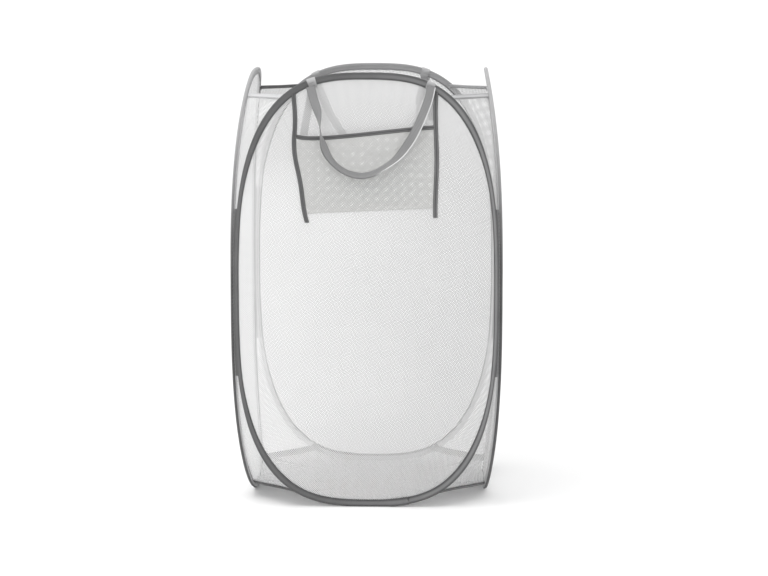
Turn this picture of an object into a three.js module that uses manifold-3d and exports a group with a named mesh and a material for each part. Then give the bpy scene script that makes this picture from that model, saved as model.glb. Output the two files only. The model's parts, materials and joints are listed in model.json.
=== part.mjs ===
// A pop up laundry hamper: four sprung wire hoops in sewn tape, one to each side, with mesh walls,
// taped rims across the corners, a cloth floor, a pocket on the front and a webbing handle at front and rear.
// The floor is at z = 0 below the middle of the frame, and the front faces -Y.
import * as THREE from 'three';
import { mergeVertices } from 'three/addons/utils/BufferGeometryUtils.js';
import Module from 'manifold-3d';

// Frame, in millimetres
const frameWidth = 372;
const frameDepth = 372;
const frameHeight = 600;
const tipLean = 20;
const footFlat = 34;
const panelSetIn = 5;

// Hoops and their binding
const wireDiameter = 2.2;
const wireEndGap = 1;
const ferruleWall = 0.4;
const ferruleLength = 18;
const tapeThickness = 0.7;
const arcTapeWidth = 10;
const sideTapeWidth = 6;
const meshThickness = 0.8;
const clearance = 0.3;

// Corners and floor
const seamDiameter = 2;
const seamLength = 230;
const rimDrop = 33;
const rimTapeWidth = 7;
const floorTapeHeight = 18;
const floorTapeWidth = 6;
const gussetHollow = 4;
const floorThickness = 1;
const floorLift = 5;
const floorHeight = 9;

// Pocket on the front wall
const pocketLeft = 98;
const pocketRight = 92;
const pocketTaper = 18;
const pocketMouthDrop = 92;
const pocketMouthRise = 10;
const pocketDepth = 106;
const pocketTapeLap = 12;
const pocketBulge = 8;
const pocketTapeWidth = 6;
const pocketTapeThickness = 1.4;
const hemWidth = 5.5;

// Handles
const handleLeft = 76;
const handleRight = 88;
const handleDrop = 128;
const handleStandOff = 15;
const webbingWidth = 12;
const webbingThickness = 1.5;
const anchorThickness = 1;
const anchorLeg = 1;
const tailLength = 66;
const tailSlant = 8;
const handleLap = 3.5;

// Squareness of the hoops, and the curves' steps
const hoopPower = 2.9;
const leanPower = 2.9;
const cornerSteps = 12;
const wireSides = 6;
const ferruleSides = 8;
const panelRingShares = [0.7, 0.36];
const floorRingShares = [0.8, 0.5];
const cornerColumns = 4;
const tapeSpacing = 5;

// Sizes that follow
const centreHeight = frameHeight / 2;
const wireRadius = wireDiameter / 2;
const ferruleBore = wireRadius + clearance;
const ferruleRadius = ferruleBore + ferruleWall;
const sleeveCavity = ferruleRadius + clearance;
const sleeveHalf = sleeveCavity + tapeThickness;
const legGap = meshThickness / 2 + clearance;
const legHalf = legGap + tapeThickness;
const hingeOffset = sleeveHalf + clearance / 2;
const hoopHalfHeight = centreHeight - sleeveHalf;
const frontPlane = frameDepth / 2 - sleeveHalf;
const sidePlane = frameWidth / 2 - sleeveHalf;
const foldAxis = { x: sidePlane - hingeOffset, y: frontPlane - hingeOffset };
const frontHalfWidth = foldAxis.x - hingeOffset;
const sideHalfWidth = foldAxis.y - hingeOffset;
const cornerReach = Math.SQRT2 * (sleeveHalf + clearance);
const rimLevel = centreHeight - rimDrop;
const floorTapeLevel = centreHeight - floorTapeHeight;
const pocketHeight = frameHeight - pocketMouthDrop;
const pocketFoot = pocketHeight - pocketDepth;
const pocketTapeFoot = pocketFoot - pocketTapeLap;

// Materials
const steel = { color: 0xb9bcc0, roughness: 0.35, metalness: 0.9 };
const zinc = { color: 0x9a9da1, roughness: 0.45, metalness: 0.8 };
const greyTape = { color: 0x6d6e70, roughness: 0.85, metalness: 0 };
const whiteMesh = { color: 0xe9eaec, roughness: 0.8, metalness: 0 };
const greyWebbing = { color: 0x86888b, roughness: 0.85, metalness: 0 };

const wasm = await Module();
wasm.setup();

const hamper = new THREE.Group();

function addPiece(parent, name, geometry, look) {
  geometry.computeVertexNormals();
  const piece = new THREE.Mesh(geometry, new THREE.MeshStandardMaterial(look));
  piece.name = name;
  parent.add(piece);
  return piece;
}

// A closed body from its corners and its triangles, with every face turned out
function closedBody(points, triangles) {
  const first = new THREE.Vector3();
  let volume = 0;
  for (const [a, b, c] of triangles) {
    volume += first.crossVectors(points[a], points[b]).dot(points[c]);
  }
  const turned = volume < 0 ? triangles.map(([a, b, c]) => [a, c, b]) : triangles;
  const geometry = new THREE.BufferGeometry();
  geometry.setAttribute('position', new THREE.Float32BufferAttribute(points.flatMap((p) => p.toArray()), 3));
  geometry.setIndex(turned.flat());
  return geometry;
}

// The place of a point of a cross section: out is away from the hoop's middle, aside is square to the wall
function place(frame, out, aside) {
  return frame.point.clone().addScaledVector(frame.out, out).addScaledVector(frame.aside, aside);
}

// A cross section carried along a row of frames. An open run gets a cap at each end.
function sweep(frames, sectionAt, looped) {
  const sections = frames.map(sectionAt);
  const size = sections[0].length;
  const points = frames.flatMap((frame, i) => sections[i].map(([out, aside]) => place(frame, out, aside)));
  const triangles = [];
  const spans = looped ? frames.length : frames.length - 1;
  for (let i = 0; i < spans; i += 1) {
    const here = i * size;
    const next = ((i + 1) % frames.length) * size;
    for (let j = 0; j < size; j += 1) {
      const k = (j + 1) % size;
      triangles.push([here + j, next + j, next + k], [here + j, next + k, here + k]);
    }
  }
  if (!looped) {
    const last = (frames.length - 1) * size;
    for (const [a, b, c] of capFaces(sections[0])) triangles.push([a, b, c]);
    for (const [a, b, c] of capFaces(sections[spans])) triangles.push([last + a, last + c, last + b]);
  }
  return closedBody(points, triangles);
}

// The triangles that fill a section's outline, all turned the same way
function capFaces(section) {
  const outline = section.map(([out, aside]) => new THREE.Vector2(out, aside));
  const faces = THREE.ShapeUtils.triangulateShape(outline, []);
  const forwards = THREE.ShapeUtils.area(outline) > 0;
  return faces.map(([a, b, c]) => {
    const ahead = THREE.ShapeUtils.area([outline[a], outline[b], outline[c]]) > 0;
    return ahead === forwards ? [a, b, c] : [a, c, b];
  });
}

// A thin sheet with a skin on each side of a surface, joined round its open edge
function sheet(points, triangles, offsets) {
  const count = points.length;
  const skins = [
    ...points.map((point, i) => point.clone().add(offsets[i])),
    ...points.map((point, i) => point.clone().sub(offsets[i])),
  ];
  const faces = [];
  const edges = new Map();
  for (const [a, b, c] of triangles) {
    faces.push([a, b, c], [a + count, c + count, b + count]);
    for (const [from, to] of [[a, b], [b, c], [c, a]]) edges.set(`${from} ${to}`, [from, to]);
  }
  for (const [from, to] of edges.values()) {
    if (!edges.has(`${to} ${from}`)) {
      faces.push([to, from, from + count], [to, from + count, to + count]);
    }
  }
  return closedBody(skins, faces);
}

// The triangles of rows and columns of points, wrapped round when looped
function gridFaces(rows, columns, looped) {
  const faces = [];
  for (let i = 0; i < rows - 1; i += 1) {
    for (let j = 0; j < (looped ? columns : columns - 1); j += 1) {
      const k = (j + 1) % columns;
      const [here, next] = [i * columns, (i + 1) * columns];
      faces.push([here + j, here + k, next + k], [here + j, next + k, next + j]);
    }
  }
  return faces;
}

// The same, closed over a last point at the middle
function ringFaces(rows, columns) {
  const faces = gridFaces(rows, columns, true);
  const [last, middle] = [(rows - 1) * columns, rows * columns];
  for (let j = 0; j < columns; j += 1) faces.push([last + j, last + ((j + 1) % columns), middle]);
  return faces;
}

function leanAt(level) {
  return tipLean * (Math.abs(level) / hoopHalfHeight) ** leanPower;
}

// A quarter of a hoop's centreline, from its side up to its tip
function hoopQuarter(halfWidth) {
  const quarter = [];
  for (let i = 0; i < cornerSteps; i += 1) {
    const angle = (i * Math.PI) / (2 * cornerSteps);
    const level = hoopHalfHeight * Math.sin(angle) ** (2 / hoopPower);
    quarter.push({ across: halfWidth * Math.cos(angle) ** (2 / hoopPower), level, lean: leanAt(level) });
  }
  quarter.push({ across: footFlat / 2, level: hoopHalfHeight, lean: tipLean });
  return quarter;
}

// The hoop's edge at a level above or below its middle, on the straight runs between its points
function hoopEdge(halfWidth, level) {
  const quarter = hoopQuarter(halfWidth);
  const height = Math.abs(level);
  const above = quarter.findIndex((point) => point.level > height);
  const [low, high] = [quarter[above - 1], quarter[above]];
  const share = (height - low.level) / (high.level - low.level);
  return {
    across: THREE.MathUtils.lerp(low.across, high.across, share),
    lean: THREE.MathUtils.lerp(low.lean, high.lean, share),
  };
}

// The frames round a whole hoop, from its right side over the top, seen from outside
function hoopFrames(halfWidth) {
  const quarter = hoopQuarter(halfWidth);
  const back = [...quarter].reverse();
  const turns = [
    ...quarter.map((point) => [1, 1, point]),
    ...back.map((point) => [-1, 1, point]),
    ...quarter.slice(1).map((point) => [-1, -1, point]),
    ...back.slice(0, -1).map((point) => [1, -1, point]),
  ];
  const loop = turns.map(([side, up, { across, level, lean }]) => (
    new THREE.Vector3(side * across, lean, centreHeight + up * level)
  ));
  return loop.map((point, i) => {
    const before = point.clone().sub(loop.at(i - 1)).normalize();
    const after = loop[(i + 1) % loop.length].clone().sub(point).normalize();
    const along = before.add(after).normalize();
    const out = new THREE.Vector3(0, 1, 0).cross(along).normalize();
    const aside = along.clone().cross(out);
    const level = point.z - centreHeight;
    return { point, out, aside, tapeWidth: tapeWidthAt(level) };
  });
}

function tapeWidthAt(level) {
  const share = THREE.MathUtils.smoothstep(Math.abs(level), seamLength / 2, centreHeight - rimDrop);
  return THREE.MathUtils.lerp(sideTapeWidth, arcTapeWidth, share);
}

// The frame part of the way from one point of a hoop to the next
function frameBetween(frames, position) {
  const step = Math.floor(position);
  const share = position - step;
  const [from, to] = [frames[step % frames.length], frames[(step + 1) % frames.length]];
  return {
    point: from.point.clone().lerp(to.point, share),
    out: from.out.clone().lerp(to.out, share).normalize(),
    aside: from.aside.clone().lerp(to.aside, share).normalize(),
    tapeWidth: THREE.MathUtils.lerp(from.tapeWidth, to.tapeWidth, share),
  };
}

// The frames of a hoop from one place on it to another, ends included
function stretch(frames, from, to) {
  const positions = [from];
  for (let i = Math.floor(from) + 1; i < to; i += 1) positions.push(i);
  return [...positions, to].map((position) => frameBetween(frames, position));
}

// Half of a folded tape's outline: the fold, a shoulder beside the wire and the end of a leg
const foldFlatShare = 0.54;
const shoulderShare = 0.1;
function tapeOutline(half, legEnd, legAside) {
  return [[-legEnd, legAside], [half * shoulderShare, half], [half, half * foldFlatShare]];
}

// A folded tape, open towards the middle of the hoop
function foldedTape(innerHalf, outerHalf, legEnd, innerLeg, outerLeg) {
  const outer = tapeOutline(outerHalf, legEnd, outerLeg);
  const inner = tapeOutline(innerHalf, legEnd, innerLeg);
  const mirrored = (outline) => [...outline].reverse().map(([out, aside]) => [out, -aside]);
  const cavity = [...inner, ...mirrored(inner)].reverse();
  return [...outer, ...mirrored(outer), ...cavity];
}

function roundSection(radius, sides) {
  return Array.from({ length: sides }, (_, i) => {
    const angle = (i * 2 * Math.PI) / sides;
    return [radius * Math.cos(angle), radius * Math.sin(angle)];
  });
}

// The wire's ends meet in a crimped ferrule, right of the hoop's foot
const ferruleStep = 3 * cornerSteps + 3;

function ferruleReach(frames, length) {
  return length / frames[ferruleStep].point.distanceTo(frames[ferruleStep + 1].point);
}

function hoopWire(frames) {
  const gap = ferruleReach(frames, wireEndGap);
  const middle = ferruleStep + 0.5;
  const run = stretch(frames, middle + gap / 2, middle + frames.length - gap / 2);
  return sweep(run, () => roundSection(wireRadius, wireSides), false);
}

function hoopFerrule(frames) {
  const reach = ferruleReach(frames, ferruleLength);
  const middle = ferruleStep + 0.5;
  const ends = stretch(frames, middle - reach / 2, middle + reach / 2);
  const flatToFlat = Math.cos(Math.PI / ferruleSides);
  const walls = [roundSection(ferruleRadius, ferruleSides), roundSection(ferruleBore / flatToFlat, ferruleSides)];
  const points = walls.flatMap((wall) => ends.flatMap((end) => wall.map(([out, aside]) => place(end, out, aside))));
  const [outside, inside] = [gridFaces(2, ferruleSides, true), gridFaces(2, ferruleSides, true)];
  const bore = 2 * ferruleSides;
  const faces = [...outside, ...inside.map(([a, b, c]) => [bore + a, bore + c, bore + b])];
  for (let j = 0; j < ferruleSides; j += 1) {
    const k = (j + 1) % ferruleSides;
    for (const [end, turn] of [[0, true], [ferruleSides, false]]) {
      const rim = [end + j, end + k, bore + end + k, bore + end + j];
      const [a, b, c, d] = turn ? rim.reverse() : rim;
      faces.push([a, b, c], [a, c, d]);
    }
  }
  return closedBody(points, faces);
}

function hoopTape(frames) {
  return sweep(frames, ({ tapeWidth }) => (
    foldedTape(sleeveCavity, sleeveHalf, tapeWidth - sleeveHalf, legGap, legHalf)
  ), true);
}

// The mesh wall starts between the legs of the tape and is drawn in towards its middle
function wallBrim(frames) {
  return frames.map((frame) => place(frame, -(frame.tapeWidth - sleeveHalf + clearance), 0));
}

function meshWall(frames) {
  const edge = frames.map((frame) => place(frame, -(ferruleRadius + clearance), 0));
  const brim = wallBrim(frames);
  const rings = [edge, brim];
  for (const share of panelRingShares) {
    rings.push(brim.map((point) => new THREE.Vector3(
      point.x * share,
      THREE.MathUtils.lerp(panelSetIn, point.y, share ** 2),
      THREE.MathUtils.lerp(centreHeight, point.z, share),
    )));
  }
  const square = new THREE.Vector3(0, meshThickness / 2, 0);
  const atTape = frames.map((frame) => frame.aside.clone().multiplyScalar(meshThickness / 2));
  const points = [...rings.flat(), new THREE.Vector3(0, panelSetIn, centreHeight)];
  const offsets = points.map((_, i) => (i < 2 * frames.length ? atTape[i % frames.length] : square));
  return sheet(points, ringFaces(rings.length, frames.length), offsets);
}

// One side: its hoop, the ferrule, the tape and the mesh wall, in a group turned to face its way
function makeSide(name, turn, plane, halfWidth) {
  const holder = new THREE.Group();
  holder.rotation.z = turn;
  const side = new THREE.Group();
  side.position.y = -plane;
  holder.add(side);
  hamper.add(holder);
  const frames = hoopFrames(halfWidth);
  addPiece(side, `${name}_hoop_wire`, hoopWire(frames), steel);
  addPiece(side, `${name}_hoop_ferrule`, hoopFerrule(frames), zinc);
  addPiece(side, `${name}_hoop_tape`, hoopTape(frames), greyTape);
  const wall = addPiece(side, `${name}_mesh_wall`, meshWall(frames), whiteMesh);
  return { side, frames, wall };
}

const quarterTurn = Math.PI / 2;
const front = makeSide('front', 0, frontPlane, frontHalfWidth);
const right = makeSide('right', quarterTurn, sidePlane, sideHalfWidth);
const rear = makeSide('rear', 2 * quarterTurn, frontPlane, frontHalfWidth);
const left = makeSide('left', -quarterTurn, sidePlane, sideHalfWidth);

// A point of a corner's gusset: at a level, a share of the way from the front or rear hoop to the side
// hoop, and standing out from the line between them
function cornerPoint(corner, level, share, out) {
  const near = hoopEdge(frontHalfWidth, level);
  const far = hoopEdge(sideHalfWidth, level);
  const from = new THREE.Vector3(near.across, frontPlane - near.lean, 0);
  const to = new THREE.Vector3(sidePlane - far.lean, far.across, 0);
  const along = to.clone().sub(from).normalize();
  const outward = new THREE.Vector3(-along.y, along.x, 0);
  const width = from.distanceTo(to);
  const reach = THREE.MathUtils.lerp(cornerReach, width - cornerReach, share);
  const hollow = 4 * share * (1 - share) * gussetHollow * (width / rimSpan());
  const point = from.addScaledVector(along, reach).addScaledVector(outward, out - hollow);
  return new THREE.Vector3(corner.x * point.x, corner.y * point.y, centreHeight + level);
}

function rimSpan() {
  const near = hoopEdge(frontHalfWidth, rimLevel);
  const far = hoopEdge(sideHalfWidth, rimLevel);
  return Math.hypot(sidePlane - far.lean - near.across, far.across - frontPlane + near.lean);
}

// The tapes across the upper and lower corners: the way from the frame's middle, and the tape's two edges
const upperTape = { up: 1, edge: rimLevel + rimTapeWidth / 2, foot: rimLevel - rimTapeWidth / 2 };
const lowerTape = { up: -1, edge: floorTapeLevel + floorTapeWidth / 2, foot: floorTapeLevel - floorTapeWidth / 2 };
const gussetFoot = seamLength / 2 + clearance;

// A corner's mesh, from the upright seam to inside the fold of its tape
function gusset(corner, tape) {
  const middles = hoopQuarter(frontHalfWidth).map((point) => point.level);
  const between = middles.filter((level) => level > gussetFoot + tapeSpacing && level < tape.foot - tapeSpacing);
  const levels = [gussetFoot, ...between, tape.foot, tape.edge - tapeThickness - clearance];
  const points = [];
  const offsets = [];
  for (const level of levels) {
    for (let j = 0; j <= cornerColumns; j += 1) {
      const share = j / cornerColumns;
      const inner = cornerPoint(corner, tape.up * level, share, -meshThickness / 2);
      const outer = cornerPoint(corner, tape.up * level, share, meshThickness / 2);
      points.push(inner.clone().lerp(outer, 0.5));
      offsets.push(outer.sub(inner).multiplyScalar(0.5));
    }
  }
  return sheet(points, gridFaces(levels.length, cornerColumns + 1, false), offsets);
}

// A tape folded over the edge of a gusset, from hoop to hoop
function cornerTape(corner, { up, edge, foot }) {
  const section = [
    [foot, legHalf], [edge, legHalf], [edge, -legHalf], [foot, -legHalf],
    [foot, -legGap], [edge - tapeThickness, -legGap], [edge - tapeThickness, legGap], [foot, legGap],
  ];
  const points = [];
  for (let i = 0; i <= cornerColumns; i += 1) {
    for (const [level, out] of section) points.push(cornerPoint(corner, up * level, i / cornerColumns, out));
  }
  const faces = gridFaces(cornerColumns + 1, section.length, true);
  const last = cornerColumns * section.length;
  const caps = capFaces(section);
  const wound = caps.map(([a, b, c]) => [a, c, b]);
  faces.push(...wound, ...caps.map(([a, b, c]) => [last + a, last + b, last + c]));
  return closedBody(points, faces);
}

function cornerSeam(corner) {
  const ends = [-seamLength / 2, seamLength / 2].map((level) => ({
    point: new THREE.Vector3(corner.x * foldAxis.x, corner.y * foldAxis.y, centreHeight + level),
    out: new THREE.Vector3(1, 0, 0),
    aside: new THREE.Vector3(0, 1, 0),
  }));
  return sweep(ends, () => roundSection(seamDiameter / 2, wireSides), false);
}

const corners = {
  front_left: { x: -1, y: -1 },
  front_right: { x: 1, y: -1 },
  rear_left: { x: -1, y: 1 },
  rear_right: { x: 1, y: 1 },
};
for (const [name, corner] of Object.entries(corners)) {
  addPiece(hamper, `${name}_upper_gusset`, gusset(corner, upperTape), whiteMesh);
  addPiece(hamper, `${name}_lower_gusset`, gusset(corner, lowerTape), whiteMesh);
  addPiece(hamper, `${name}_rim_tape`, cornerTape(corner, upperTape), greyTape);
  addPiece(hamper, `${name}_floor_tape`, cornerTape(corner, lowerTape), greyTape);
  addPiece(hamper, `${name}_corner_seam`, cornerSeam(corner), greyTape);
}

// Where the floor meets the slanted inner face of a lower tape, with its underside just clear of it
function floorSeat(corner, share) {
  const out = -(legHalf + 2 * clearance);
  const [top, bottom] = [lowerTape.foot, lowerTape.edge].map((level) => cornerPoint(corner, -level, share, out));
  const seat = top.lerp(bottom, 0.5 + floorThickness / (2 * floorTapeWidth));
  return seat.setZ(seat.z + floorThickness / 2);
}

// The floor is sewn to the feet of the hoops and to the tapes across the corners, and is flat in the middle
function floorPanel() {
  const inset = sleeveHalf + 2 * clearance;
  const loop = [];
  const sides = [
    { plane: frontPlane, halfWidth: frontHalfWidth, corner: corners.front_right },
    { plane: sidePlane, halfWidth: sideHalfWidth, corner: corners.rear_right },
    { plane: frontPlane, halfWidth: frontHalfWidth, corner: corners.rear_left },
    { plane: sidePlane, halfWidth: sideHalfWidth, corner: corners.front_left },
  ];
  sides.forEach(({ plane, halfWidth, corner }, i) => {
    const foot = hoopQuarter(halfWidth).filter((point) => point.level > floorTapeLevel);
    const arc = [...foot.map((p) => [-1, p]), ...[...foot].reverse().map((p) => [1, p])];
    for (const [side, { across, level, lean }] of arc) {
      const point = new THREE.Vector3(side * across, -(plane - lean - inset), centreHeight - level + floorLift);
      loop.push(point.applyAxisAngle(new THREE.Vector3(0, 0, 1), i * quarterTurn));
    }
    for (let j = 0; j <= cornerColumns; j += 1) {
      loop.push(floorSeat(corner, (i % 2 ? cornerColumns - j : j) / cornerColumns));
    }
  });
  const rings = [loop, ...floorRingShares.map((share) => loop.map((point) => new THREE.Vector3(
    point.x * share,
    point.y * share,
    THREE.MathUtils.lerp(floorHeight, point.z, share ** 3),
  )))];
  const points = [...rings.flat(), new THREE.Vector3(0, 0, floorHeight)];
  const offsets = points.map(() => new THREE.Vector3(0, 0, floorThickness / 2));
  return sheet(points, ringFaces(rings.length, loop.length), offsets);
}
addPiece(hamper, 'floor_panel', floorPanel(), whiteMesh);

// Where the front wall's face is, from outside or from inside, at a place across and up it
const finder = new THREE.Raycaster();
function wallFace(across, height, inside) {
  const start = inside ? frontPlane : -frontPlane;
  const probe = new THREE.Mesh(front.wall.geometry, new THREE.MeshBasicMaterial({ side: THREE.DoubleSide }));
  finder.set(new THREE.Vector3(across, start, height), new THREE.Vector3(0, -Math.sign(start), 0));
  return finder.intersectObject(probe)[0].point.y;
}

// The height of the lower edge of the front hoop's top tape
function tapeFoot(across) {
  const brim = wallBrim(front.frames).slice(0, 2 * cornerSteps + 2);
  const after = brim.findIndex((point) => point.x < across);
  const [from, to] = [brim[after - 1], brim[after]];
  return THREE.MathUtils.mapLinear(across, from.x, to.x, from.z, to.z);
}

// A flat strip or sheet laid on the outside of the front wall, from rows of [across, height, stand off]
function onWall(rows, thickness) {
  const half = new THREE.Vector3(0, thickness / 2, 0);
  const points = rows.flat().map(([across, height, standOff]) => (
    new THREE.Vector3(across, wallFace(across, height, false) - clearance - thickness / 2 - standOff, height)
  ));
  return sheet(points, gridFaces(rows.length, rows[0].length, false), points.map(() => half));
}

// The pocket's two tapes: the left one runs in towards its foot
function pocketEdge(side, height) {
  if (side > 0) return pocketRight;
  const down = Math.max(0, pocketHeight - height) / (pocketHeight - pocketTapeFoot);
  return -(pocketLeft - pocketTaper * down ** 1.5);
}

const pocketTapeRows = 9;
function pocketTape(side) {
  const rows = [];
  for (let i = 0; i <= pocketTapeRows; i += 1) {
    rows.push([-1, 1].map((edge) => {
      const straight = pocketEdge(side, pocketHeight) + edge * (pocketTapeWidth / 2);
      const top = tapeFoot(straight) - anchorLeg - 2 * clearance;
      const height = THREE.MathUtils.lerp(pocketTapeFoot, top, i / pocketTapeRows);
      return [pocketEdge(side, height) + edge * (pocketTapeWidth / 2), height, 0];
    }));
  }
  return onWall(rows, pocketTapeThickness);
}

// The pocket's places: across from tape to tape, and up from its foot to its mouth
const pocketColumns = 10;
const pocketRows = 5;
const pocketFootRise = 8;
function pocketPlace(acrossShare, height, upShare) {
  const inner = pocketTapeWidth / 2 + clearance;
  const [from, to] = [pocketEdge(-1, height) + inner, pocketEdge(1, height) - inner];
  const swell = Math.sin(Math.PI * acrossShare) * Math.sin(upShare * quarterTurn);
  return [THREE.MathUtils.lerp(from, to, acrossShare), height, pocketBulge * swell];
}

function pocketPanel() {
  const rows = [];
  for (let i = 0; i <= pocketRows; i += 1) {
    rows.push(Array.from({ length: pocketColumns + 1 }, (_, j) => {
      const share = j / pocketColumns;
      const foot = pocketFoot + pocketFootRise * share;
      const mouth = pocketHeight + pocketMouthRise * share - clearance;
      return pocketPlace(share, THREE.MathUtils.lerp(foot, mouth, i / pocketRows), i / pocketRows);
    }));
  }
  return onWall(rows, meshThickness);
}

function pocketHem() {
  const rows = [0, hemWidth].map((above) => Array.from({ length: pocketColumns + 1 }, (_, j) => {
    const share = j / pocketColumns;
    return pocketPlace(share, pocketHeight + pocketMouthRise * share + above, 1);
  }));
  return onWall(rows, pocketTapeThickness);
}
addPiece(front.side, 'pocket_left_tape', pocketTape(-1), greyTape);
addPiece(front.side, 'pocket_right_tape', pocketTape(1), greyTape);
addPiece(front.side, 'pocket_panel', pocketPanel(), whiteMesh);
addPiece(front.side, 'pocket_hem', pocketHem(), greyTape);

// The place on the top of a hoop that lies so far across
function hoopPosition(frames, across) {
  const after = frames.findIndex((frame) => frame.point.x < across);
  const [from, to] = [frames[after - 1].point.x, frames[after].point.x];
  return after - 1 + (across - from) / (to - from);
}

// A handle's anchor: webbing folded over the hoop's tape
function anchorWrap(across) {
  const { frames } = front;
  const from = hoopPosition(frames, across + webbingWidth / 2);
  const to = hoopPosition(frames, across - webbingWidth / 2);
  return sweep(stretch(frames, from, to), ({ tapeWidth }) => foldedTape(
    sleeveHalf + clearance,
    sleeveHalf + clearance + anchorThickness,
    tapeWidth - sleeveHalf + anchorLeg,
    legHalf + clearance,
    legHalf + clearance + anchorThickness,
  ), false);
}

// The webbing's loose end hangs inside the wall. It starts in the thickness of the anchor's inner leg.
const tailCoreShare = 0.7;
const tailSteps = 6;
function anchorTail(across) {
  const { frames } = front;
  const frame = frameBetween(frames, hoopPosition(frames, across));
  const legEnd = frame.tapeWidth - sleeveHalf + anchorLeg;
  const core = legHalf + clearance + anchorThickness / 2;
  const thickness = anchorThickness * tailCoreShare;
  const half = new THREE.Vector3(0, thickness / 2, 0);
  const narrow = (webbingWidth / 2) * tailCoreShare;
  const rows = [];
  const level = place(frame, -legEnd, 0).z;
  const lean = (height) => wallFace(across, height, true) + clearance + thickness / 2;
  const sunk = place(frame, -legEnd + anchorLeg, core + (sleeveHalf - legHalf) * (anchorLeg / legEnd));
  rows.push([sunk.y, sunk.z, 0], [place(frame, -legEnd, core).y, level, 0]);
  for (let i = 1; i <= tailSteps; i += 1) {
    const height = level - (tailLength * i) / tailSteps;
    rows.push([lean(height), height, i / tailSteps]);
  }
  const points = rows.flatMap(([y, z, share]) => [-1, 1].map((edge) => {
    const halfWidth = THREE.MathUtils.lerp(narrow, webbingWidth / 2, Math.min(1, share * tailSteps));
    return new THREE.Vector3(across - tailSlant * share + edge * halfWidth, y, z);
  }));
  return sheet(points, gridFaces(rows.length, 2, false), points.map(() => half));
}

function toSolid(geometry) {
  const bare = new THREE.BufferGeometry();
  bare.setAttribute('position', geometry.getAttribute('position'));
  bare.setIndex(geometry.getIndex());
  const merged = mergeVertices(bare);
  const vertProperties = Float32Array.from(merged.getAttribute('position').array);
  return new wasm.Manifold(new wasm.Mesh({
    numProp: 3, vertProperties, triVerts: Uint32Array.from(merged.getIndex().array),
  }));
}

function fromSolid(solid) {
  const { vertProperties, triVerts } = solid.getMesh();
  const geometry = new THREE.BufferGeometry();
  geometry.setAttribute('position', new THREE.Float32BufferAttribute(vertProperties, 3));
  geometry.setIndex(Array.from(triVerts));
  return geometry;
}

// The handle's loop of webbing hangs outside the pocket from a pivot line in front of its anchors.
// Its route is in shares of its span from left to right and of its drop below the pivot line.
const handleRouteShares = [
  [0, 0], [0.03, 0.15], [0.067, 0.31], [0.1, 0.6], [0.152, 0.785], [0.216, 0.883], [0.307, 0.956],
  [0.42, 1], [0.52, 0.965], [0.61, 0.906], [0.72, 0.8], [0.817, 0.625], [0.876, 0.484], [0.933, 0.305],
  [0.975, 0.15], [1, 0],
];
// The webbing turns about its own length: a share of a quarter turn at each share of the route
const handleTwistShares = [[0, 0], [0.06, 0], [0.24, 0.95], [0.5, 0.6], [0.75, 0.25], [0.92, 0], [1, 0]];
const handleOutShare = 0.65;
const handleSteps = 30;

function twistAt(share) {
  const after = Math.max(1, handleTwistShares.findIndex(([along]) => along >= share));
  const [[fromAlong, from], [toAlong, to]] = [handleTwistShares[after - 1], handleTwistShares[after]];
  return quarterTurn * THREE.MathUtils.lerp(from, to, THREE.MathUtils.smoothstep(share, fromAlong, toAlong));
}

// The pivot line passes in front of whichever anchor stands out further, and just above the left one's foot
function handlePivot() {
  const [left, right] = [-handleLeft, handleRight].map((across) => {
    const wrap = anchorWrap(across);
    wrap.computeBoundingBox();
    return wrap.boundingBox.min;
  });
  return {
    depth: Math.min(left.y, right.y) - webbingThickness / 2 - 1.5 * clearance,
    height: left.z + handleLap,
  };
}

function handleLoop() {
  const { depth, height } = handlePivot();
  const route = new THREE.CatmullRomCurve3(handleRouteShares.map(([across, drop]) => new THREE.Vector3(
    THREE.MathUtils.lerp(-handleLeft, handleRight, across),
    depth - handleStandOff * THREE.MathUtils.smoothstep(drop, 0, handleOutShare),
    height - handleDrop * drop,
  )));
  const frames = [];
  for (let i = 0; i <= handleSteps; i += 1) {
    const share = i / handleSteps;
    const along = route.getTangentAt(share);
    const across = new THREE.Vector3(0, 1, 0).cross(along).normalize();
    const square = along.clone().cross(across);
    const twist = twistAt(share);
    const out = across.multiplyScalar(Math.cos(twist)).addScaledVector(square, Math.sin(twist));
    frames.push({ point: route.getPointAt(share), out, aside: along.clone().cross(out) });
  }
  const [halfWidth, halfThickness] = [webbingWidth / 2, webbingThickness / 2];
  const section = [
    [-halfWidth, -halfThickness], [halfWidth, -halfThickness], [halfWidth, halfThickness],
    [-halfWidth, halfThickness],
  ];
  return sweep(frames, () => section, false);
}

for (const [name, side] of [['front', front.side], ['rear', rear.side]]) {
  addPiece(side, `${name}_handle`, handleLoop(), greyWebbing);
  const withTail = toSolid(anchorWrap(-handleLeft)).add(toSolid(anchorTail(-handleLeft)));
  addPiece(side, `${name}_handle_tail_anchor`, fromSolid(withTail), greyWebbing);
  addPiece(side, `${name}_handle_anchor`, anchorWrap(handleRight), greyWebbing);
}

export default hamper;
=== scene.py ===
"""A pop up laundry hamper: the cloth, tapes, stitches and handles around its fixed frame."""

import json
import math

import bpy
import numpy as np
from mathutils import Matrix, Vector, noise


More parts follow.
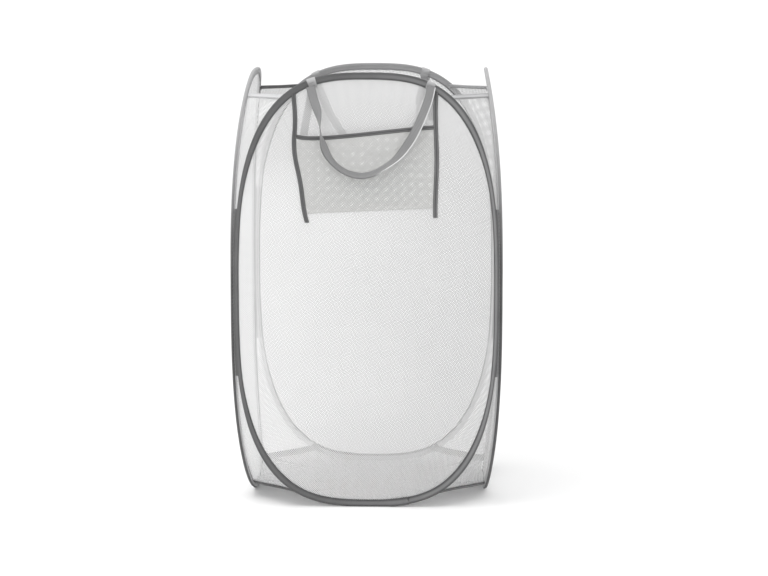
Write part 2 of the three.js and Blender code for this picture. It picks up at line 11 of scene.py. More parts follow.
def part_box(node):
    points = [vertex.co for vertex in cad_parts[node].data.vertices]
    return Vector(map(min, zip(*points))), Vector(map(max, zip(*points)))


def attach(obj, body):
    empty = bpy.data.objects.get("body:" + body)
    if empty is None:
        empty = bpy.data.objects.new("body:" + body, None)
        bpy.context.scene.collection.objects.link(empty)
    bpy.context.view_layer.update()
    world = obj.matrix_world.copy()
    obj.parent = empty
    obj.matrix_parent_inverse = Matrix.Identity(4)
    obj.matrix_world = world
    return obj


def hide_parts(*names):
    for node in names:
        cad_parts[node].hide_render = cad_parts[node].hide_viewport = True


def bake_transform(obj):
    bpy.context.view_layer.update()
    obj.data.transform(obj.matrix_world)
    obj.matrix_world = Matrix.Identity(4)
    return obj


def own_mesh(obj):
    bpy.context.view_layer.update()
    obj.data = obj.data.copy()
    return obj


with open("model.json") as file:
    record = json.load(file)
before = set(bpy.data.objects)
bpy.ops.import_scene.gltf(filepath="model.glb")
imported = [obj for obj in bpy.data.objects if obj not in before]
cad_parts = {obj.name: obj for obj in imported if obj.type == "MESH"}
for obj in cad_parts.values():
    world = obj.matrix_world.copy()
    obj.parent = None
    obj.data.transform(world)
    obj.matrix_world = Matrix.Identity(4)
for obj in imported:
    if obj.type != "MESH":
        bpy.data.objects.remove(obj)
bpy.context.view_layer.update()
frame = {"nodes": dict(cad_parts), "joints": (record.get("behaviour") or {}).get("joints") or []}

bl_info = {
    "name": "Pop Up Laundry Hamper",
    "version": (1, 0, 0),
    "blender": (4, 5, 0),
    "location": "View3D > Sidebar > Hamper",
    "description": "Builds a pop up laundry hamper's cloth, tapes, stitches and handles around its frame",
    "category": "Object",
}


def reach(node, axis):
    """The furthest that a node's box reaches from the middle of the hamper, along one axis."""
    low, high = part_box(node)
    return max(-low[axis], high[axis])


WIRE_RADIUS = 0.0011
FRAME_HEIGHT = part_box("front_hoop_tape")[1].z
CENTRE_HEIGHT = FRAME_HEIGHT / 2
FRONT_PLANE = reach("front_hoop_wire", 1) - WIRE_RADIUS
SIDE_PLANE = reach("left_hoop_wire", 0) - WIRE_RADIUS
FRONT_HALF_WIDTH = reach("front_hoop_wire", 0) - WIRE_RADIUS
SIDE_HALF_WIDTH = reach("left_hoop_wire", 1) - WIRE_RADIUS
HOOP_HALF_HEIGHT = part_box("front_hoop_wire")[1].z - WIRE_RADIUS - CENTRE_HEIGHT
OUTWARD = np.array([1, 1, 0]) / math.sqrt(2)
TURN = 2 * math.pi


def number(name, description, default, **limits):
    """A number that a user can set."""
    return bpy.props.FloatProperty(name=name, description=description, default=default, **limits)


def length(name, description, default):
    """A length that a user can set, in metres."""
    return number(name, description, default, unit="LENGTH", precision=5)


def share(name, description, default):
    """A share from 0 to 1 that a user can set."""
    return number(name, description, default, subtype="FACTOR", min=0, max=1)


def colour(name, description, default):
    """A colour that a user can set."""
    return bpy.props.FloatVectorProperty(
        name=name, description=description, default=default, size=3, subtype="COLOR", min=0, max=1
    )


class HamperHoops(bpy.types.PropertyGroup):
    """Sizes of the hoops and of the tape that is folded round them."""

    tip_lean: length("Tip lean", "How far a hoop's top and foot lean in from its plane", 0.020)
    squareness: number("Squareness", "Power of the hoop's rounded outline", 2.9)
    lean_power: number("Lean power", "How late up the hoop the lean begins", 2.9)
    fold_radius: length("Fold radius", "Outside radius of the tape round the wire", 0.0028)
    arc_width: length("Arc tape width", "Width of the tape on the top and foot arcs", 0.010)
    side_width: length("Side tape width", "Width of the tape on the upright sides", 0.006)
    cloth_thickness: length("Tape thickness", "Thickness of the folded tape's cloth", 0.0006)
    leg_half: length("Leg half thickness", "Half the thickness over both legs of the tape", 0.0013)
    lap: length("Tape lap", "How far the tape's ends lap over each other", 0.022)
    seam_length: length("Corner seam length", "Length of the upright seam between two hoops", 0.230)
    seam_diameter: length("Corner seam diameter", "Diameter of the piping in the seam", 0.002)


class HamperCloth(bpy.types.PropertyGroup):
    """Sizes of the mesh, the rims and the floor."""

    mesh_pitch: length("Wall mesh pitch", "From hole to hole of the walls' net", 0.0021)
    coarse_pitch: length("Coarse mesh pitch", "From hole to hole of the pocket's and floor's net", 0.0027)
    hole_share: share("Hole size", "Radius of a hole as a share of the pitch", 0.34)
    pocket_hole_share: share("Pocket hole size", "Radius of a hole in the pocket's net", 0.25)
    floor_hole_share: share("Floor hole size", "Radius of a hole in the floor's net", 0.30)
    set_in: length("Wall set in", "How far the middle of a wall is drawn in", 0.005)
    rim_drop: length("Rim drop", "How far the rim tapes lie below the top", 0.033)
    rim_width: length("Rim tape width", "Width of the tapes across the front upper corners", 0.0055)
    rear_rim_width: length("Rear rim tape width", "Width across the rear upper corners", 0.004)
    floor_tape_height: length("Floor tape height", "Height of the lower corners' tapes", 0.018)
    floor_tape_width: length("Floor tape width", "Width of the lower corners' tapes", 0.006)
    hollow: length("Gusset hollow", "How far a gusset is drawn in between its hoops", 0.004)
    floor_height: length("Floor height", "Height of the middle of the floor", 0.009)
    floor_lift: length("Floor lift", "Height of the floor's edge above a hoop's foot", 0.005)


class HamperPocket(bpy.types.PropertyGroup):
    """Sizes of the pocket on the front wall."""

    left: length("Left tape", "Distance of the left tape from the middle", 0.098)
    right: length("Right tape", "Distance of the right tape from the middle", 0.0945)
    taper: length("Taper", "How far the left tape runs in at its foot", 0.018)
    mouth_drop: length("Mouth drop", "Depth of the pocket's mouth below the top", 0.0865)
    mouth_rise: length("Mouth rise", "How much higher the mouth is at the right", 0.010)
    depth: length("Depth", "Depth of the pocket below its mouth", 0.105)
    tape_lap: length("Tape lap", "How far the tapes run on below the pocket", 0.012)
    bulge: length("Bulge", "How far the pocket stands out from the wall", 0.008)
    tape_width: length("Tape width", "Width of the pocket's upright tapes", 0.006)
    hem_width: length("Hem width", "Width of the hem along the mouth", 0.0055)


class HamperHandles(bpy.types.PropertyGroup):
    """Sizes of the two webbing handles."""

    left: length("Left anchor", "Distance of the left anchor from the middle", 0.076)
    right: length("Right anchor", "Distance of the right anchor from the middle", 0.088)
    drop: length("Drop", "Depth of the loop below its anchors", 0.120)
    stand_off: length("Stand off", "How far the loop hangs in front of its anchors", 0.015)
    width: length("Webbing width", "Width of the webbing", 0.012)
    thickness: length("Webbing thickness", "Thickness of the webbing", 0.0015)
    anchor_thickness: length("Anchor thickness", "Thickness of the webbing round the hoop", 0.001)
    tail_length: length("Tail length", "Length of the loose end inside the hamper", 0.066)
    tail_slant: length("Tail slant", "How far the loose end hangs to one side", 0.013)


class HamperColours(bpy.types.PropertyGroup):
    """Colours of the cloths, threads and metals."""

    tape: colour("Tape", "Folded binding tape", (0.086, 0.086, 0.087))
    webbing: colour("Webbing", "Handles and their anchors", (0.237, 0.237, 0.239))
    mesh: colour("Mesh", "White net of the walls", (0.78, 0.78, 0.78))
    pocket: colour("Pocket", "Net of the pocket", (0.54, 0.54, 0.53))
    # Painted shade: the floor's net is white, and this grey stands for the shade inside the hamper.
    floor_mesh: colour("Floor mesh", "Net of the floor", (0.295, 0.295, 0.30))
    thread: colour("Thread", "Stitches", (0.07, 0.07, 0.071))
    steel: colour("Steel", "Sprung wire", (0.45, 0.46, 0.48))
    zinc: colour("Zinc", "Crimped ferrules", (0.40, 0.41, 0.42))
    floor: colour("Floor", "Studio floor and backdrop", (0.93, 0.93, 0.93))


def sizes(group):
    """One group of the hamper's settings, by its short name."""
    return getattr(bpy.context.scene, "hamper_" + group)


def smoothstep(low, high, value):
    """0 below low, 1 above high and a smooth rise between them."""
    amount = np.clip((value - low) / (high - low), 0, 1)
    return amount * amount * (3 - 2 * amount)


def mix(start, end, amount):
    """The value part of the way from start to end."""
    return start + (end - start) * amount


def unit(vectors):
    """Vectors of length one, the same way as the given ones."""
    return vectors / np.linalg.norm(vectors, axis=-1, keepdims=True)


def running_length(points):
    """How far along a row of points each point lies."""
    return np.concatenate([[0], np.cumsum(np.linalg.norm(np.diff(points, axis=0), axis=1))])


def between(at, known, rows):
    """Rows of numbers, worked out at values between the known ones."""
    return np.stack([np.interp(at, known, column) for column in rows.T], axis=1)


def resample(points, at):
    """The places at the given lengths along a row of points."""
    return between(at, running_length(points), points)


def ripple(points, scale, seed):
    """Smooth random heights between about -1 and 1 at places in space, on lumps as large as the scale."""
    shift = Vector((seed * 7.3, seed * 3.1, seed * 5.7))
    heights = np.array([noise.noise(Vector(p) / scale + shift) for p in points.reshape(-1, 3)])
    return heights.reshape(points.shape[:-1])


def slack(places, waves):
    """Smooth slack in a cloth, from waves that each have a length, a seed and a depth."""
    return sum(ripple(places, scale, seed) * depth for scale, seed, depth in waves)


def oval(reach_one_way, ratio):
    """How far a hoop's outline reaches one way, at a share of its reach the other way."""
    power = sizes("hoops").squareness
    return reach_one_way * (1 - np.minimum(np.abs(ratio), 1) ** power) ** (1 / power)


HOOP_STEPS = 720
OUTLINE_FINENESS = 20


class Side:
    """One side of the hamper. A place on it is given as across, inward from its plane, and height.

    Its net's grain is turned by an angle, so that two walls seen through each other beat less. Its slack is
    taken at a depth in the noise that the side across from it doesn't share. It also has the name of its
    tape's finish, and of the corners at its ends.
    """

    def __init__(self, name, quarter_turns, plane, half_width, grain, tape, ends):
        self.name = name
        self.body = f"{name}_side"
        self.plane = plane
        self.half_width = half_width
        self.grain = grain
        self.tape = tape
        self.ends = ends
        self.slack_depth = plane + len(name)
        cos, sin = (way(quarter_turns * math.pi / 2) for way in (math.cos, math.sin))
        self.turn = np.array([[cos, -sin, 0], [sin, cos, 0], [0, 0, 1]])

    def world(self, places):
        """Places on the side, put where the side stands."""
        return (np.asarray(places, float) - np.array([0, self.plane, 0])) @ self.turn.T

    def outline(self, count):
        """Evenly spaced places round the hoop's wire, from its right side over the top."""
        angle = np.linspace(0, TURN, OUTLINE_FINENESS * count + 1)
        power = 2 / sizes("hoops").squareness
        cos, sin = np.cos(angle), np.sin(angle)
        across = self.half_width * np.sign(cos) * np.abs(cos) ** power
        level = HOOP_HALF_HEIGHT * np.sign(sin) * np.abs(sin) ** power
        dense = np.stack([across, lean_at(level), CENTRE_HEIGHT + level], axis=1)
        return resample(dense, np.linspace(0, running_length(dense)[-1], count, endpoint=False))

    def frames(self, count):
        """Places round the hoop, with the way out from its middle and the way inward, square to it."""
        points = self.outline(count)
        along = unit(np.roll(points, -1, axis=0) - np.roll(points, 1, axis=0))
        out = unit(np.cross([0, 1, 0], along))
        return points, out, np.cross(along, out)

    def frames_from(self, start, end, count):
        """Lengths from start to end along the hoop, the frames at each, and the whole hoop's length."""
        points, out, inward = (np.vstack([rows, rows[:1]]) for rows in self.frames(HOOP_STEPS))
        run = running_length(points)
        at = np.linspace(start, end, count)
        points, out, inward = (between(at % run[-1], run, rows) for rows in (points, out, inward))
        return at, points, unit(out), unit(inward), run[-1]

    def length_at(self, across, up):
        """How far along the hoop from its right side a place on its top or foot lies."""
        points = self.outline(HOOP_STEPS)
        other_half = up * (points[:, 2] - CENTRE_HEIGHT) <= 0
        return running_length(points)[np.argmin(np.abs(points[:, 0] - across) + other_half)]


class Corner:
    """One corner of the hamper. What lies at the right and outer corner is brought to it by its signs.

    Its cloth lies between two bodies, and its seam rides on one.
    """

    def __init__(self, across, back, bodies, seam_body, rim_tape):
        self.across = across
        self.back = back
        self.bodies = bodies
        self.seam_body = seam_body
        self.rim_tape = rim_tape
        self.name = f"{'rear' if back > 0 else 'front'}_{'right' if across > 0 else 'left'}"

    def signs(self, up=1):
        """The signs that turn a way at the right and outer corner into one at this corner."""
        return np.array([self.across, self.back, up])

    def world(self, places, up=1):
        """Places at the right and outer corner, brought to this one, above or below the middle."""
        return places * self.signs(up) + np.array([0, 0, CENTRE_HEIGHT])

    def bend(self, piece, bend_reach):
        """Bakes a piece's place into its mesh; bend_reach is not used."""
        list(self.bodies)
        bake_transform(piece)


FRONT_SIZES = FRONT_PLANE, FRONT_HALF_WIDTH
SIDE_SIZES = SIDE_PLANE, SIDE_HALF_WIDTH
SIDES = {
    "front": Side("front", 0, *FRONT_SIZES, 0.0, "binding_tape", ("front_left", "front_right")),
    "right": Side("right", 1, *SIDE_SIZES, 0.3, "faded_tape", ("front_right", "rear_right")),
    "rear": Side("rear", 2, *FRONT_SIZES, 0.62, "rear_tape", ("rear_right", "rear_left")),
    "left": Side("left", -1, *SIDE_SIZES, -0.485, "faded_tape", ("rear_left", "front_left")),
}
CORNERS = {
    "front_left": Corner(-1, -1, ("front_side", "left_side"), "front_side", "pale_tape"),
    "front_right": Corner(1, -1, ("front_side", "right_side"), "front_side", "faded_tape"),
    "rear_left": Corner(-1, 1, ("left_side", "rear_side"), "left_side", "binding_tape"),
    "rear_right": Corner(1, 1, ("right_side", "rear_right_seam"), "rear_right_seam", "faded_tape"),
}


def lean_at(level):
    """How far in from its plane a hoop leans at a level above or below its middle."""
    hoops = sizes("hoops")
    return hoops.tip_lean * np.minimum(np.abs(level) / HOOP_HALF_HEIGHT, 1) ** hoops.lean_power


def tape_width_at(level):
    """Width of the tape: narrow on the upright sides and wide on the arcs."""
    hoops = sizes("hoops")
    rise = smoothstep(hoops.seam_length / 2, CENTRE_HEIGHT - sizes("cloth").rim_drop, np.abs(level))
    return mix(hoops.side_width, hoops.arc_width, rise)


def leg_at(level):
    """Length of the tape's legs, past its fold round the wire."""
    return tape_width_at(level) - sizes("hoops").fold_radius


def place(points, out, inward, outs, inwards):
    """Places beside a row of frames, each so far out and so far inward."""
    return points[:, None] + out[:, None] * outs[..., None] + inward[:, None] * inwards[..., None]


def wall_inward(side, across, level):
    """How far inward of its plane a side's mesh wall lies, at places on it."""
    hoops = sizes("hoops")
    brim_across = side.half_width - (hoops.side_width - hoops.fold_radius)
    brim_level = HOOP_HALF_HEIGHT - (hoops.arc_width - hoops.fold_radius)
    ratio = np.abs(across) / brim_across, np.abs(level) / brim_level
    rim = (ratio[0] ** hoops.squareness + ratio[1] ** hoops.squareness) ** (1 / hoops.squareness)
    tip = np.minimum(ratio[1] / np.maximum(rim, 1e-6), 1)
    lean = hoops.tip_lean * tip ** hoops.lean_power
    return mix(sizes("cloth").set_in, lean, np.minimum(rim, 1) ** 2)


def grid_faces(rows, columns, looped=False):
    """Quads of a grid of points, joined from its last row to its first when looped."""
    faces = []
    for i in range(rows if looped else rows - 1):
        for j in range(columns - 1):
            here, following = i * columns + j, ((i + 1) % rows) * columns + j
            faces.append((here, here + 1, following + 1, following))
    return faces


def ring_faces(rings, sides, start=0):
    """Quads round a row of rings of points, numbered from start."""
    faces = []
    for i in range(rings - 1):
        here, following = start + i * sides, start + (i + 1) * sides
        for j in range(sides):
            k = (j + 1) % sides
            faces.append((here + j, following + j, following + k, here + k))
    return faces


def tube_faces(rings, sides, start=0):
    """The same with a cap at each end."""
    last = start + rings * sides - 1
    caps = [tuple(range(start, start + sides)), tuple(range(last, last - sides, -1))]
    return ring_faces(rings, sides, start) + caps


def gathered(grid, looped=False):
    """The places and faces of a grid whose rows all end at one point."""
    rows, columns = grid.shape[0], grid.shape[1] - 1
    places = np.concatenate([grid[:, :-1].reshape(-1, 3), grid[:1, -1]])
    faces = grid_faces(rows, columns, looped)
    for i in range(rows if looped else rows - 1):
        here, following = i * columns, ((i + 1) % rows) * columns
        faces.append((here + columns - 1, rows * columns, following + columns - 1))
    return places, faces


def grid_cloth(grid):
    """Each point's place along and across a grid of cloth, in metres, and its share of the way across."""
    along = np.repeat(running_length(grid[:, grid.shape[1] // 2])[:, None], grid.shape[1], axis=1)
    across = np.stack([running_length(row) for row in grid])
    return np.stack([along, across, across / across[:, -1:]], axis=2)


def flat_cloth(across, along):
    """The same from two measures on the cloth, without the share."""
    return np.stack([across, along, np.zeros_like(across)], axis=-1)


def grid_normals(grid):
    """The way square to a grid of points, at each point."""
    return unit(np.cross(np.gradient(grid, axis=0), np.gradient(grid, axis=1)))


def grid_area(grid):
    """The area of a grid of cloth."""
    falling, rising = grid[1:, 1:] - grid[:-1, :-1], grid[1:, :-1] - grid[:-1, 1:]
    return float(np.linalg.norm(np.cross(falling, rising), axis=-1).sum()) / 2


def add_piece(name, points, faces, material, cloth):
    """A smooth mesh. cloth holds each point's place along and across its cloth."""
    mesh = bpy.data.meshes.new(name)
    mesh.from_pydata(np.asarray(points, float).reshape(-1, 3).tolist(), [], faces)
    attribute = mesh.attributes.new("cloth", "FLOAT_VECTOR", "POINT")
    attribute.data.foreach_set("vector", np.asarray(cloth, np.float32).ravel())
    mesh.shade_smooth()
    mesh.materials.append(finish(material))
    piece = bpy.data.objects.new(name, mesh)
    bpy.context.scene.collection.objects.link(piece)
    return piece


def fit(piece, slot, *nodes, body=None):
    """Hides the nodes that a piece replaces and puts the piece on the body that it rides on. The slot is not
    used.
    """
    if nodes:
        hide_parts(*nodes)
    if body:
        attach(piece, body)


SELVEDGE_SHARE = 0.55
SHARP_ANGLE = math.radians(60)


def add_strip(name, grid, thickness, material):
    """A closed strip of tape or webbing round a grid, a little thinner at its two edges."""
    rows, columns = grid.shape[:2]
    half = np.full((rows, columns, 1), thickness / 2)
    half[:, [0, -1]] *= SELVEDGE_SHARE
    normals = grid_normals(grid)
    skins = np.concatenate([grid + normals * half, (grid - normals * half)[:, ::-1]], axis=1)
    width = 2 * columns
    faces = ring_faces(rows, width)
    last = (rows - 1) * width
    for j in range(columns - 1):
        back = width - 1 - j
        faces.append((j, j + 1, back - 1, back))
        faces.append((last + j, last + back, last + back - 1, last + j + 1))
    laid = grid_cloth(grid)
    piece = add_piece(name, skins, faces, material, np.concatenate([laid, laid[:, ::-1]], axis=1))
    piece.data.set_sharp_from_angle(angle=SHARP_ANGLE)
    return piece


STITCH_STEPS = 5
STITCH_SIDES = 5
STITCH_PITCH = 0.0031
STITCH_FILL = 0.8
STITCH_ARCH = 0.0001
THREAD_RADIUS = 0.00022
SLIM_SHARE = 0.2


def row_of_stitches(points, ways, pitch=STITCH_PITCH):
    """Starts, ends and ways of evenly spaced stitches along a row of points."""
    run = running_length(points)
    at = np.arange(pitch / 2, run[-1] - pitch * STITCH_FILL, pitch)
    found = between(at + pitch * STITCH_FILL / 2, run, ways)
    return resample(points, at), resample(points, at + pitch * STITCH_FILL), unit(found)


def sew(name, rows, slot="grey_tape", thread="sewing_thread", radius=THREAD_RADIUS, arch=STITCH_ARCH,
        body=None):
    """Short arched threads. Each row holds its stitches' starts and ends and the ways that they stand up."""
    starts, ends, ways = (np.concatenate([row[i] for row in rows]) for i in range(3))
    at = np.linspace(0, 1, STITCH_STEPS)[:, None]
    lift = np.sin(math.pi * at) * (arch + radius) - radius
    centres = starts[:, None] * (1 - at) + ends[:, None] * at + ways[:, None] * lift
    aside = unit(np.cross(unit(ends - starts), ways))
    turns = np.linspace(0, TURN, STITCH_SIDES, endpoint=False)[:, None]
    spokes = aside[:, None, None] * np.cos(turns) + ways[:, None, None] * np.sin(turns)
    slim = radius * np.sqrt(np.maximum(1 - (2 * at - 1) ** 4, SLIM_SHARE))
    rings = centres[:, :, None] + slim[..., None] * spokes
    faces = []
    for n in range(len(starts)):
        faces += tube_faces(STITCH_STEPS, STITCH_SIDES, n * STITCH_STEPS * STITCH_SIDES)
    lengths = np.linalg.norm(ends - starts, axis=1)
    run = np.concatenate([[0], np.cumsum(lengths)])[:-1]
    cloth = np.zeros(rings.shape)
    cloth[..., 0] = run[:, None, None] + lengths[:, None, None] * at
    cloth[..., 1] = turns[:, 0] * radius
    piece = add_piece(name, rings, faces, thread, cloth)
    fit(piece, slot, body=body)
    return piece


class Value:
    """A number, vector or colour in a material's nodes. Arithmetic on it adds the nodes that work it out."""

    def __init__(self, shader, socket):
        self.shader = shader
        self.socket = socket

    def math(self, operation, *others):
        return self.shader.node("ShaderNodeMath", {"operation": operation}, [self, *others])

    def __add__(self, other):
        return self.math("ADD", other)

    def __sub__(self, other):
        return self.math("SUBTRACT", other)

    def __mul__(self, other):
        return self.math("MULTIPLY", other)

    def __truediv__(self, other):
        return self.math("DIVIDE", other)

    __radd__ = __add__
    __rmul__ = __mul__

    def __rsub__(self, other):
        return self.shader.node("ShaderNodeMath", {"operation": "SUBTRACT"}, [other, self])

    def sine(self):
        return self.math("SINE")

    def size(self):
        return self.math("ABSOLUTE")

    def part(self):
        return self.math("FRACT")

    def root(self):
        return self.math("SQRT")

    def rise(self, low, high, start=0.0, end=1.0):
        """From start below low to end above high, smoothly."""
        ends = {"Value": self, "From Min": low, "From Max": high, "To Min": start, "To Max": end}
        return self.shader.node("ShaderNodeMapRange", {"interpolation_type": "SMOOTHSTEP"}, ends)


def tinted(base, amount):
    """A colour made lighter or darker."""
    return (*(min(1.0, part * amount) for part in base), 1)


class Shader:
    """The nodes of one named material."""

    def __init__(self, name, roughness, **constants):
        self.material = bpy.data.materials.new(name)
        self.material.use_nodes = True
        self.tree = self.material.node_tree
        self.surface = self.tree.nodes["Principled BSDF"]
        self.feed(self.surface.inputs["Roughness"], roughness)
        for socket, value in constants.items():
            self.feed(self.surface.inputs[socket.replace("_", " ").title().replace("Ior", "IOR")], value)

    def feed(self, socket, value):
        """Links a value to a socket, or sets the socket to a constant."""
        if isinstance(value, Value):
            self.tree.links.new(value.socket, socket)
        else:
            socket.default_value = value

    def node(self, kind, settings=None, inputs=(), output=0):
        """A new node of a kind: its settings are set first, then its sockets, by name or in order."""
        made = self.tree.nodes.new(kind)
        for key, setting in (settings or {}).items():
            setattr(made, key, setting)
        for key, value in inputs.items() if isinstance(inputs, dict) else enumerate(inputs):
            self.feed(made.inputs[key], value)
        return Value(self, made.outputs[output])

    def split(self, vector):
        """The three numbers of a vector."""
        return [self.node("ShaderNodeSeparateXYZ", inputs=[vector], output=axis) for axis in range(3)]

    def cloth(self):
        """The place along and across the cloth, and the share of the way across."""
        return self.split(self.node("ShaderNodeAttribute", {"attribute_name": "cloth"}, output="Vector"))

    def place(self):
        """The place on the object."""
        return self.node("ShaderNodeTexCoord", output="Object")

    def noise(self, scale, detail=2.0, stretched=(1, 1, 1)):
        """Smooth random numbers from 0 to 1 over the object, with as many lumps to a metre as the scale."""
        turned = self.node("ShaderNodeMapping", inputs={"Vector": self.place(), "Scale": stretched})
        return self.node("ShaderNodeTexNoise", inputs={"Vector": turned, "Scale": scale, "Detail": detail})

    def blend(self, factor, start, end):
        """A colour between two others, by a factor."""
        return self.node("ShaderNodeMix", {"data_type": "RGBA"}, {0: factor, 6: start, 7: end}, 2)

    def shade(self, factor, base, dark, light):
        """A colour between two tints of another, by a factor."""
        return self.blend(factor, tinted(base, dark), tinted(base, light))

    def finish(self, base, height=None, relief=0.0, alpha=None):
        """Sets the surface's colour, its relief from a height, in metres, and its alpha."""
        self.feed(self.surface.inputs["Base Color"], base)
        if height is not None:
            bump = {"Height": height, "Distance": relief, "Strength": 1.0}
            self.feed(self.surface.inputs["Normal"], self.node("ShaderNodeBump", inputs=bump))
        if alpha is not None:
            self.feed(self.surface.inputs["Alpha"], alpha)


PLY_PITCH = 0.0006
WEAVE_PITCH = 0.0008
RIB_PITCH = 0.0016
ZIGZAG_PITCH = 0.0030
TWIST_PITCH = 0.0007
STRAND_PITCH = 0.0012

# Where each change of tone begins and ends, in metres or as shares of a strip's width
NET_SHADE_ACROSS = (-0.18, 0.20)
NET_SHADE_UP = (0.40, 0.52)
SHINE_ACROSS = (-0.10, 0.14)
LEG_HIGHLIGHT_FROM = (0.22, 0.50)
LEG_HIGHLIGHT_TO = (0.68, 0.88)
TOP_HIGHLIGHT_UP = (0.30, 0.56)
TOP_HIGHLIGHT_ACROSS = (0.10, 0.17)
REAR_TOP_HIGHLIGHT_UP = (0.40, 0.57)
BELOW_TOP = (0.53, 0.57)
INNER_EDGE = (0.14, 0.17)
INNER_LEG = (0.38, 0.46)
SELVEDGES = (0.40, 0.46)
OVER_HOOP = (0.574, 0.592)
LOOSE_END = (0.030, 0.040)
ONE_SELVEDGE = (0.07, 0.13)
LEFT_STRAND = (0.068, 0.095)
RIGHT_STRAND = (0.165, 0.195)


def net_finish(name):
    """Knitted net: round holes in a diamond pattern, with soft yarn between them.

    The walls' net is greyer towards the right and the top: painted shade.
    """
    cloth, colours = sizes("cloth"), sizes("colours")
    base, hole_share, pitch = {
        "wall_net": (colours.mesh, cloth.hole_share, cloth.mesh_pitch),
        "pocket_net": (colours.pocket, cloth.pocket_hole_share, cloth.coarse_pitch),
        # The floor's net takes its grey, which is painted shade, from the floor mesh colour.
        "floor_net": (colours.floor_mesh, cloth.floor_hole_share, cloth.coarse_pitch),
    }[name]
    net = Shader(name, 0.72)
    along, across, _ = net.cloth()
    step = math.sqrt(2) * pitch
    aside = ((along + across) / step).part() - 0.5
    up = ((along - across) / step).part() - 0.5
    from_hole = (aside * aside + up * up).root()
    hole = net.noise(38.0) * 0.05 + (hole_share - 0.025)
    yarn = (from_hole - hole).rise(-0.04, 0.04)
    ply = ((along * 1.7 + across) * (TURN / PLY_PITCH)).sine()
    tone = net.noise(9.0) * 0.7 + yarn * ply * 0.06
    tint = net.shade(tone, base, 0.93, 1.05)
    if name == "wall_net":
        right, _, height = net.split(net.place())
        # Painted shade: the wall net greys towards the right and the top.
        painted_shade = right.rise(*NET_SHADE_ACROSS, 0.0, 0.95) + height.rise(*NET_SHADE_UP, 0.0, 0.75)
        tint = net.blend(painted_shade, tint, net.shade(tone, base, 0.73, 0.82))
    net.finish(tint, from_hole + ply * 0.03, relief=0.0004, alpha=yarn)


def tape_finish(name):
    """Folded polyester tape: a fine weave, darker along its edges, with a painted highlight in the middle of
    each leg that is strongest towards the right.

    On the side hoops' and the right rims' tape, a painted highlight makes it paler towards the hoops' tops,
    most of all at the right; on the rear one a painted highlight makes it paler towards the top. Below
    the tops, the inner leg of these two is nearly as pale as the mesh, but for its dark edge. The pale one is
    pale all over.
    """
    base = sizes("colours").tape
    tape = Shader(name, 0.62, sheen_weight=0.16, sheen_roughness=0.45)
    along, across, part = tape.cloth()
    threads = (along * (TURN / WEAVE_PITCH)).sine() * (across * (TURN / WEAVE_PITCH)).sine()
    from_fold = (part - 0.5).size() * 2
    right, _, height = tape.split(tape.place())
    # Painted highlight: a paler band in the middle of each leg, stronger towards the right.
    leg_highlight = from_fold.rise(*LEG_HIGHLIGHT_FROM) * from_fold.rise(*LEG_HIGHLIGHT_TO, 1.0, 0.0)
    shine = leg_highlight * right.rise(*SHINE_ACROSS, 0.22, 0.62)
    tone = shine + tape.noise(28.0, 3.0) * 0.30 + threads * 0.08
    tint = tape.shade(tone, base, 0.55, 3.0)
    palest = tape.shade(tone, base, 6.8, 8.2)
    if name == "faded_tape":
        # Painted highlight: the tape is paler towards the hoops' tops, most of all at the right.
        lightened = height.rise(*TOP_HIGHLIGHT_UP) * right.rise(*TOP_HIGHLIGHT_ACROSS, 0.85, 0.97)
        tint = tape.blend(lightened, tint, tape.shade(tone, base, 4.6, 7.2))
    if name == "rear_tape":
        # Painted highlight: the rear tape is paler towards its top.
        lightened = height.rise(*REAR_TOP_HIGHLIGHT_UP, 0.15, 0.80)
        tint = tape.blend(lightened, tint, tape.shade(tone, base, 3.4, 5.8))
    if name in ("faded_tape", "rear_tape"):
        low_down = height.rise(*BELOW_TOP, 1.0, 0.0)
        edge = part.rise(*INNER_EDGE, 1.0, 0.0) * low_down
        inner_leg = part.rise(*INNER_LEG, 1.0, 0.0) * part.rise(*INNER_EDGE) * low_down
        tint = tape.blend(inner_leg, tape.blend(edge, tint, tinted(base, 0.35)), palest)
    tape.finish(palest if name == "pale_tape" else tint, threads, relief=0.00012)


def webbing_finish(name):
    """Grey webbing: raised ribs across it in a shallow zigzag, and a tight selvedge along each edge.

    The anchors are paler over a hoop's top and along the loose end. One selvedge of a handle has painted
    shadow from its left strand to the foot of the loop, and a painted highlight on the right strand.
    """
    base = sizes("colours").webbing
    webbing = Shader(name, 0.58, sheen_weight=0.4, sheen_roughness=0.4)
    along, across, part = webbing.cloth()
    zigzag = ((across / ZIGZAG_PITCH).part() - 0.5).size()
    ribs = ((along / RIB_PITCH + zigzag * 0.8) * TURN).sine()
    selvedge = (part - 0.5).size().rise(*SELVEDGES)
    tone = ribs * 0.16 + 0.45 + webbing.noise(30.0, 3.0) * 0.3 - selvedge * 0.25
    height = ribs * (1 - selvedge) + selvedge * 0.8
    tint = webbing.shade(tone, base, 0.6, 1.35)
    if name == "anchor_webbing":
        level = webbing.split(webbing.place())[2]
        # Paler over a hoop's top and along the loose end.
        lightened = level.rise(*OVER_HOOP, 0.0, 0.75) + along.rise(*LOOSE_END, 0.0, 0.55)
        tint = webbing.blend(lightened, tint, webbing.shade(tone, base, 1.9, 2.6))
    else:
        # Painted shadow along one selvedge from the left strand to the foot of the loop, and a painted
        # highlight on it along the right strand.
        edge = part.rise(*ONE_SELVEDGE, 0.85, 0.0) * along.rise(*LEFT_STRAND)
        tint = webbing.blend(edge, tint, webbing.shade(along.rise(*RIGHT_STRAND), base, 0.55, 3.0))
    webbing.finish(tint, height, relief=0.00025)


